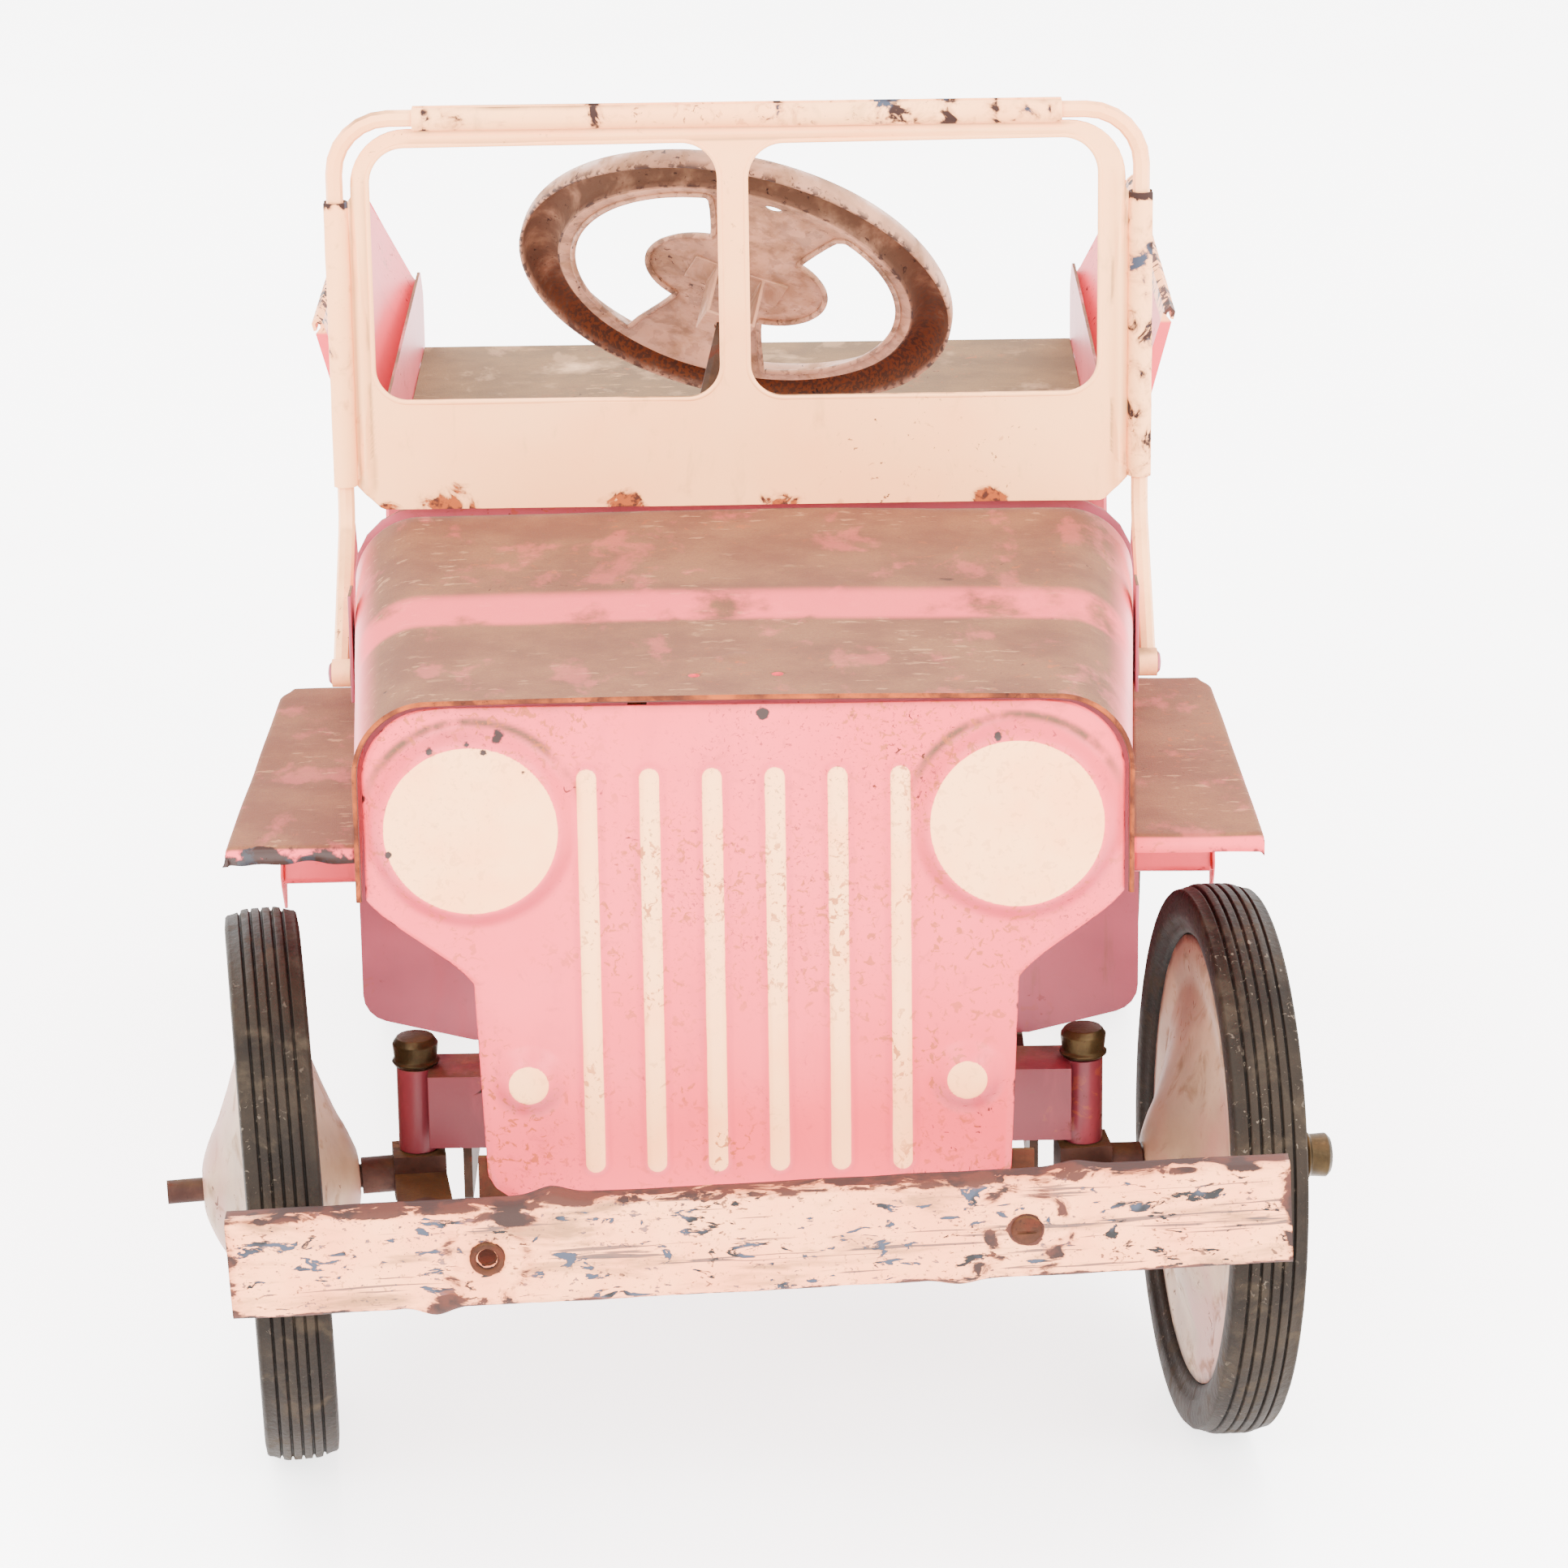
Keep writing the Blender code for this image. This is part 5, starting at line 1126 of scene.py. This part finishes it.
def make_disc(name, matrix, body, node, material):
    bore = 0.0060
    rim = TYRE_R - 0.0232
    face = [(HUB_HALF, bore), (HUB_HALF, 0.0085), (HUB_HALF - 0.0003, 0.0105), (0.0352, 0.0128),
            (0.0338, 0.0165), (0.0322, 0.0205), (0.0302, 0.0250), (0.0280, 0.0290),
            (0.0262, 0.0330), (0.0216, 0.0450), (0.0175, 0.0570), (0.0140, 0.0690),
            (0.0121, 0.0765), (0.0115, 0.0790), (0.0112, 0.0810), (0.0114, 0.0850),
            (0.0122, 0.0900), (0.0122, 0.0950), (0.0114, 0.0990), (0.0112, rim)]
    ring = face + [(-x, r) for x, r in reversed(face)]
    mesh = turned(name, ring, 112, closed=False)
    paint_points(mesh, "rust", lambda p: max(
        smooth_step(math.hypot(p.y, p.z), rim - 0.006, rim) * 0.9,
        fall(math.hypot(p.y, p.z), bore, 0.012) * 0.9))
    for vertex in mesh.vertices:
        p = vertex.co
        if abs(p.x) < HUB_HALF - 0.001 and math.hypot(p.y, p.z) < rim - 0.004:
            vertex.co.x += math.copysign(wobble(p.x, p.y, p.z, 26.0, 0.0007), p.x)
    piece = add(name, mesh, material, body, matrix)
    thicken(piece, 0.0013, -1.0)
    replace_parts(piece, node)


def make_wheels(materials):
    for end, side, joint, body in WHEELS:
        place = axle_place(joint, "%s_tyre_%s" % (end, side))
        make_tyre("tyre_%s_%s" % (end, side), place, body, "%s_tyre_%s" % (end, side),
                  materials["tyre_" + side])
        make_disc("wheel_%s_%s" % (end, side), place, body, "%s_disc_%s" % (end, side),
                  materials["disc_" + side])


# ----------------------------------------------------------- steering wheel
def wheel_face():
    """+X up the column, +Z towards the front of the rim."""
    forward_up = Vector((1.0, 0.0, 0.0)).cross(COLUMN_DIR).normalized()
    across = forward_up.cross(COLUMN_DIR)
    place = Matrix((COLUMN_DIR, across, forward_up)).transposed().to_4x4()
    return Matrix.Translation(WHEEL_CENTRE + Vector((0.0, FRONT, 0.0))) @ place


def steering_rim(look, face):
    """Rolled rim, hollow underneath."""
    centre = RIM_R - 0.0105
    inside = RIM_TUBE_R - 0.0015
    section = [(-0.0112, centre + RIM_TUBE_R)]
    section += arc((RIM_MIDDLE, centre), RIM_TUBE_R, 90.0, -90.0, 22)
    section += [(-0.0098, centre - RIM_TUBE_R), (-0.0098, centre - RIM_TUBE_R + 0.0015)]
    section += arc((RIM_MIDDLE, centre), inside, -90.0, 90.0, 20)
    section += [(-0.0112, centre + RIM_TUBE_R - 0.0015)]
    mesh = turned("steering_rim", section, 144)
    paint_points(mesh, "hollow", lambda p: fall(
        math.hypot(p.x - RIM_MIDDLE, math.hypot(p.y, p.z) - centre),
        RIM_TUBE_R - 0.0009, RIM_TUBE_R - 0.0004))
    paint_points(mesh, "rust", lambda p: 0.9 * (p.x < -0.0085))
    for vertex in mesh.vertices:
        p = vertex.co
        vertex.co.x += wobble(p.x, p.y, p.z, 12.0, 0.0010)
    mesh.transform(face)
    return add("steering_rim", mesh, look, "steering")


def spoke_drop(y, z):
    """How far the spoke's plate falls towards the rim."""
    return 0.0046 * smooth_step(math.hypot(y, z), 0.070, 0.0872)


def steering_spoke(look, face):
    """Pressed plate with two openings and a rolled bead round each."""
    disc = circle((0.0, 0.0), RIM_R - 0.0105 - RIM_TUBE_R + 0.0006, 96)
    right = rounded_loop(arc((0.0, 0.0), 0.0812, -66.0, 64.0, 34)
                         + arc((0.012, 0.0), 0.033, 74.0, -74.0, 24))
    left = [(-y, -z) for y, z in right]
    holes = [right, left, circle((0.004, 0.0745), 0.0046, 24), circle((0.0, 0.0), 0.0051, 24)]
    plate = outline_sheet("steering_spoke", [disc] + holes, 0.0030)
    for vertex in plate.vertices:
        y, z = vertex.co.x, vertex.co.y
        dish = -0.0050 - 0.0016 * fall(math.hypot(y, z), 0.012, 0.034) - spoke_drop(y, z)
        vertex.co = (dish + wobble(y, z, 0.2, 30.0, 0.0006), y, z)
    turn = Matrix.Rotation(SPOKE_TURN, 4, "X")
    plate.transform(turn)
    paint_points(plate, "hollow", lambda p: 0.0)
    paint_points(plate, "rust", lambda p: 0.25)
    plate.transform(face)
    spoke = add("steering_spoke", plate, look, "steering")
    thicken(spoke, 0.0014, 0.0)
    soften(spoke, 0.0003)
    for index, loop in enumerate((right, left)):
        line = [tuple(face @ (turn @ Vector((-0.0056 - spoke_drop(y, z) - 0.0008, y, z))))
                for y, z in loop]
        bead = tube("spoke_bead_%d" % index, line, 0.0014, look, "steering", True)
        paint_points(bead.data, "rust", lambda p: 0.5)


def make_steering_wheel(materials):
    face = wheel_face()
    rim = steering_rim(materials["steering"], face)
    steering_spoke(materials["steering"], face)
    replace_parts(rim, "steering_wheel")


# ------------------------------------------------------------------ fenders
def curl(distance):
    """How far a turned-down edge hangs at a distance from it."""
    if distance >= CURL_R:
        return 0.0
    share = max(0.0, distance) / CURL_R
    return CURL_R * (1.0 - math.sqrt(max(0.0, 1.0 - (1.0 - share) ** 2)))


def fender_rows(side):
    rows = []
    depth = FENDER_Y[1] - FENDER_Y[0]
    ys = [FENDER_Y[0] + CURL_R * (1.0 - math.cos(t * math.pi / 2.0)) for t in spread(0.0, 1.0, 7)]
    ys += [FENDER_Y[0] + CURL_R + (depth - CURL_R) * t for t in spread(0.0, 1.0, 76)[1:]]
    for index, y in enumerate([FENDER_Y[0]] + ys):
        inner = hood_half(y) + 0.0004
        back = smooth_step(y, FENDER_Y[1] - 0.012, FENDER_Y[1])
        outer = FENDER_OUT - 0.007 * (y - FENDER_Y[0]) / depth - 0.004 * back
        flat = outer - CURL_R
        xs = [inner + (flat - inner) * t for t in spread(0.0, 1.0, 26)]
        xs += [flat + CURL_R * math.sin(t * math.pi / 2.0) for t in spread(0.0, 1.0, 7)[1:]]
        row = []
        for place, x in enumerate(xs + [outer]):
            drop = curl(outer - x) + curl(y - FENDER_Y[0])
            skirt = 0.0052 if place == len(xs) else 0.0
            if index == 0:
                rough = 0.0022 if side < 0.0 else 0.0008
                skirt = max(skirt, 0.0052) + wobble(x, side, 0.2, 60.0, rough)
                drop = max(drop, 0.0030)
            z = FENDER_Z + 0.0008 - min(drop, 0.0036) - skirt
            z += wobble(x * side, y, 0.5, 18.0, 0.0012) - 0.0006
            push = wobble(x, side, 0.4, 50.0, 0.0035) if index == 0 and side < 0.0 else 0.0
            row.append((side * x, y + max(0.0, push), z))
        rows.append(row)
    return rows


def make_fender(name, side, materials):
    lip = 0.62 if side < 0.0 else 0.36

    def sheet(kind, mesh, look, rust, offset):
        paint_points(mesh, "rust", rust)
        made = add_from_axle("fender_%s_%s" % (kind, name), mesh, materials[look], "chassis")
        thicken(made, 0.0014, offset)
        return made

    def skin_rust(p):
        front = fall(p.y - FENDER_Y[0], 0.0, 0.0045)
        return max(front * lip * 0.72, fall(p.z, FENDER_Z - 0.0075, FENDER_Z - 0.0035) * lip)

    mesh = skin("fender_skin_" + name, fender_rows(side))
    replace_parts(sheet("skin", mesh, "fender", skin_rust, -1.0), "fender_" + name)
    rows = []
    for y, z in LEG_LINE:
        rows.append([(side * x, y, z + wobble(x, y, z, 30.0, 0.0004))
                     for x in spread(hood_half(y) + 0.0012, TAIL_X, 18)])
    sheet("leg", skin("fender_leg_" + name, rows), "leg",
          lambda p: 0.30 * fall(p.z, 0.237, 0.241), 0.0)
    tail = outline_sheet("fender_tail_" + name, [fillet(TAIL_OUTLINE, 5)], 0.0060)
    for vertex in tail.vertices:
        vertex.co = (side * TAIL_X, vertex.co.x, vertex.co.y)
    sheet("tail", tail, "leg", lambda p: 0.34 * fall(p.z, 0.218, 0.226), 0.0)


# --------------------------------------------------------- the other pieces
def finish_cad(materials):
    """Materials and softened edges for the CAD parts that stay."""
    for look, nodes in CAD_LOOKS.items():
        for node in nodes.split():
            obj = frame["nodes"][node]
            for slot in obj.material_slots:
                slot.material = materials[look]
            obj.data.shade_smooth()
            obj.modifiers.new("weld", "WELD").merge_threshold = 0.00001
            soften(obj, 0.00045)


def make_materials():
    return {
        "hood": pink_paint("hood_enamel", 0.97, 0.25, 1.0, marks=hood_marks, low=0.28, high=0.80),
        "hem": rusty_metal("hem_rust", RUST, RUST_BRIGHT, 0.1, 0.8, 2.0, 0.6, 0.1),
        "grille": pink_paint("grille_enamel", 0.15, 0.42, 3.0, marks=grille_marks),
        # Firewall, dash and pivot brackets: the body pink painted much darker, as painted shade for
        # their recessed place behind the hood and fenders.
        "panel": pink_paint("panel_enamel_shaded", 0.70, 0.45, 5.0, 0.35, pale=tint(0.38, 0.074, 0.100),
                            base=tint(0.24, 0.046, 0.066)),
        "side": pink_paint("side_enamel", 0.55, 0.35, 6.0, 0.30, base=tint(0.50, 0.060, 0.080),
                           pale=tint(0.60, 0.085, 0.105)),
        "deck": pink_paint("deck_enamel", 0.72, 0.30, 7.0, low=0.30, high=0.70,
                           base=tint(0.48, 0.26, 0.115), pale=tint(0.60, 0.34, 0.165)),
        "fender": pink_paint("fender_enamel", 0.95, 0.30, 8.0, marks=lip_marks, low=0.30, high=0.75),
        "flare": pink_paint("flare_enamel", 0.60, 0.45, 9.0, 0.2, marks=flare_marks, pale=PINK),
        "leg": pink_paint("leg_enamel", 0.60, 0.45, 9.0, 0.2, marks=lip_marks, pale=PINK),
        "beam": pink_paint("beam_enamel", 0.40, 0.55, 10.0, 0.3, pale=tint(0.150, 0.0190, 0.0260),
                           base=tint(0.110, 0.0130, 0.0190)),
        "screen": cream_paint("screen_enamel", 0.30, 2.0, 0.30),
        "screen_edge": cream_paint("screen_edge_enamel", 0.55, 5.0, 0.30),
        "bumper": bumper_paint(),
        "steering": steering_paint(),
        "tyre_left": tyre_rubber("tyre_rubber_left", 1.0),
        "tyre_right": tyre_rubber("tyre_rubber_right", 4.0),
        "disc_left": wheel_paint("disc_enamel_left", 2.0),
        "disc_right": wheel_paint("disc_enamel_right", 7.0),
        "steel": rusty_metal("chassis_steel", tint(0.024, 0.0120, 0.0075),
                             tint(0.050, 0.0250, 0.0150), 0.5, 0.55, 1.0),
        "rust": rusty_metal("rusted_steel", tint(0.030, 0.0110, 0.0060),
                            tint(0.070, 0.0210, 0.0090), 0.2, 0.75, 3.0, 0.7),
        "knuckle": rusty_metal("knuckle_brown", tint(0.030, 0.0110, 0.0080),
                               tint(0.055, 0.0220, 0.0140), 0.2, 0.60, 5.0),
        "brass": rusty_metal("cap_brass", tint(0.028, 0.0175, 0.0078),
                             tint(0.052, 0.0330, 0.0135), 0.75, 0.42, 7.0, 0.25, 0.25),
        "pedal": tyre_rubber("pedal_rubber_worn", 9.0),
    }


# ------------------------------------------------------------ light, camera
def area_light(name, place, aim, size, power):
    data = bpy.data.lights.new(name, "AREA")
    data.shape = "RECTANGLE"
    data.size, data.size_y = size
    data.energy = power
    obj = bpy.data.objects.new(name, data)
    bpy.context.scene.collection.objects.link(obj)
    obj.location = place
    obj.rotation_euler = (Vector(aim) - Vector(place)).to_track_quat("-Z", "Y").to_euler()


def make_stage():
    rows = []
    for y in spread(-14.0, 14.0, 9):
        rows.append([(x, y, 0.0) for x in spread(-14.0, 14.0, 9)])
    mesh = skin("studio_floor", rows)
    floor = bpy.data.objects.new("studio_floor", mesh)
    bpy.context.scene.collection.objects.link(floor)
    mesh.materials.append(floor_paint())
    if mesh.polygons[0].normal.z < 0.0:
        mesh.flip_normals()
    world = bpy.data.worlds.new("studio_air")
    world.use_nodes = True
    shade = world.node_tree.nodes["Background"]
    shade.inputs["Color"].default_value = (1.0, 1.0, 1.0, 1.0)
    shade.inputs["Strength"].default_value = 3.7
    bpy.context.scene.world = world
    area_light("key", (-1.3, -3.0, 2.3), (0.0, -0.2, 0.3), (2.2, 1.4), 165.0)
    area_light("fill", (1.9, -2.7, 1.7), (0.0, -0.2, 0.3), (1.8, 1.4), 150.0)
    area_light("top", (0.2, -0.4, 2.9), (0.0, 0.0, 0.3), (2.4, 2.0), 85.0)
    area_light("back_left", (-1.8, 2.9, 2.0), (0.0, 0.2, 0.3), (2.0, 1.4), 135.0)
    area_light("back_right", (1.8, 2.9, 2.0), (0.0, 0.2, 0.3), (2.0, 1.4), 135.0)


def make_camera():
    """Long lens from the front, 18.5 degrees down, leaning 0.8 degrees."""
    pitch, roll = math.radians(18.5), math.radians(0.8)
    right = Vector((1.0, 0.0, 0.0))
    up = Vector((0.0, math.sin(pitch), math.cos(pitch)))
    ahead = Vector((0.0, math.cos(pitch), -math.sin(pitch)))
    x_axis = right * math.cos(roll) - up * math.sin(roll)
    y_axis = right * math.sin(roll) + up * math.cos(roll)
    turn = Matrix((x_axis, y_axis, -ahead)).transposed().to_4x4()
    data = bpy.data.cameras.new("camera")
    data.sensor_width = 36.0
    data.lens = 130.4
    camera = bpy.data.objects.new("camera", data)
    bpy.context.scene.collection.objects.link(camera)
    camera.matrix_world = Matrix.Translation((0.0176, -2.7297, 1.1279)) @ turn
    bpy.context.scene.camera = camera


def main():
    materials = make_materials()
    make_stage()
    make_camera()
    make_hood(materials)
    make_grille(materials)
    make_windshield(materials)
    make_bumper(materials)
    make_wheels(materials)
    make_steering_wheel(materials)
    make_fender("left", -1.0, materials)
    make_fender("right", 1.0, materials)
    finish_cad(materials)


main()
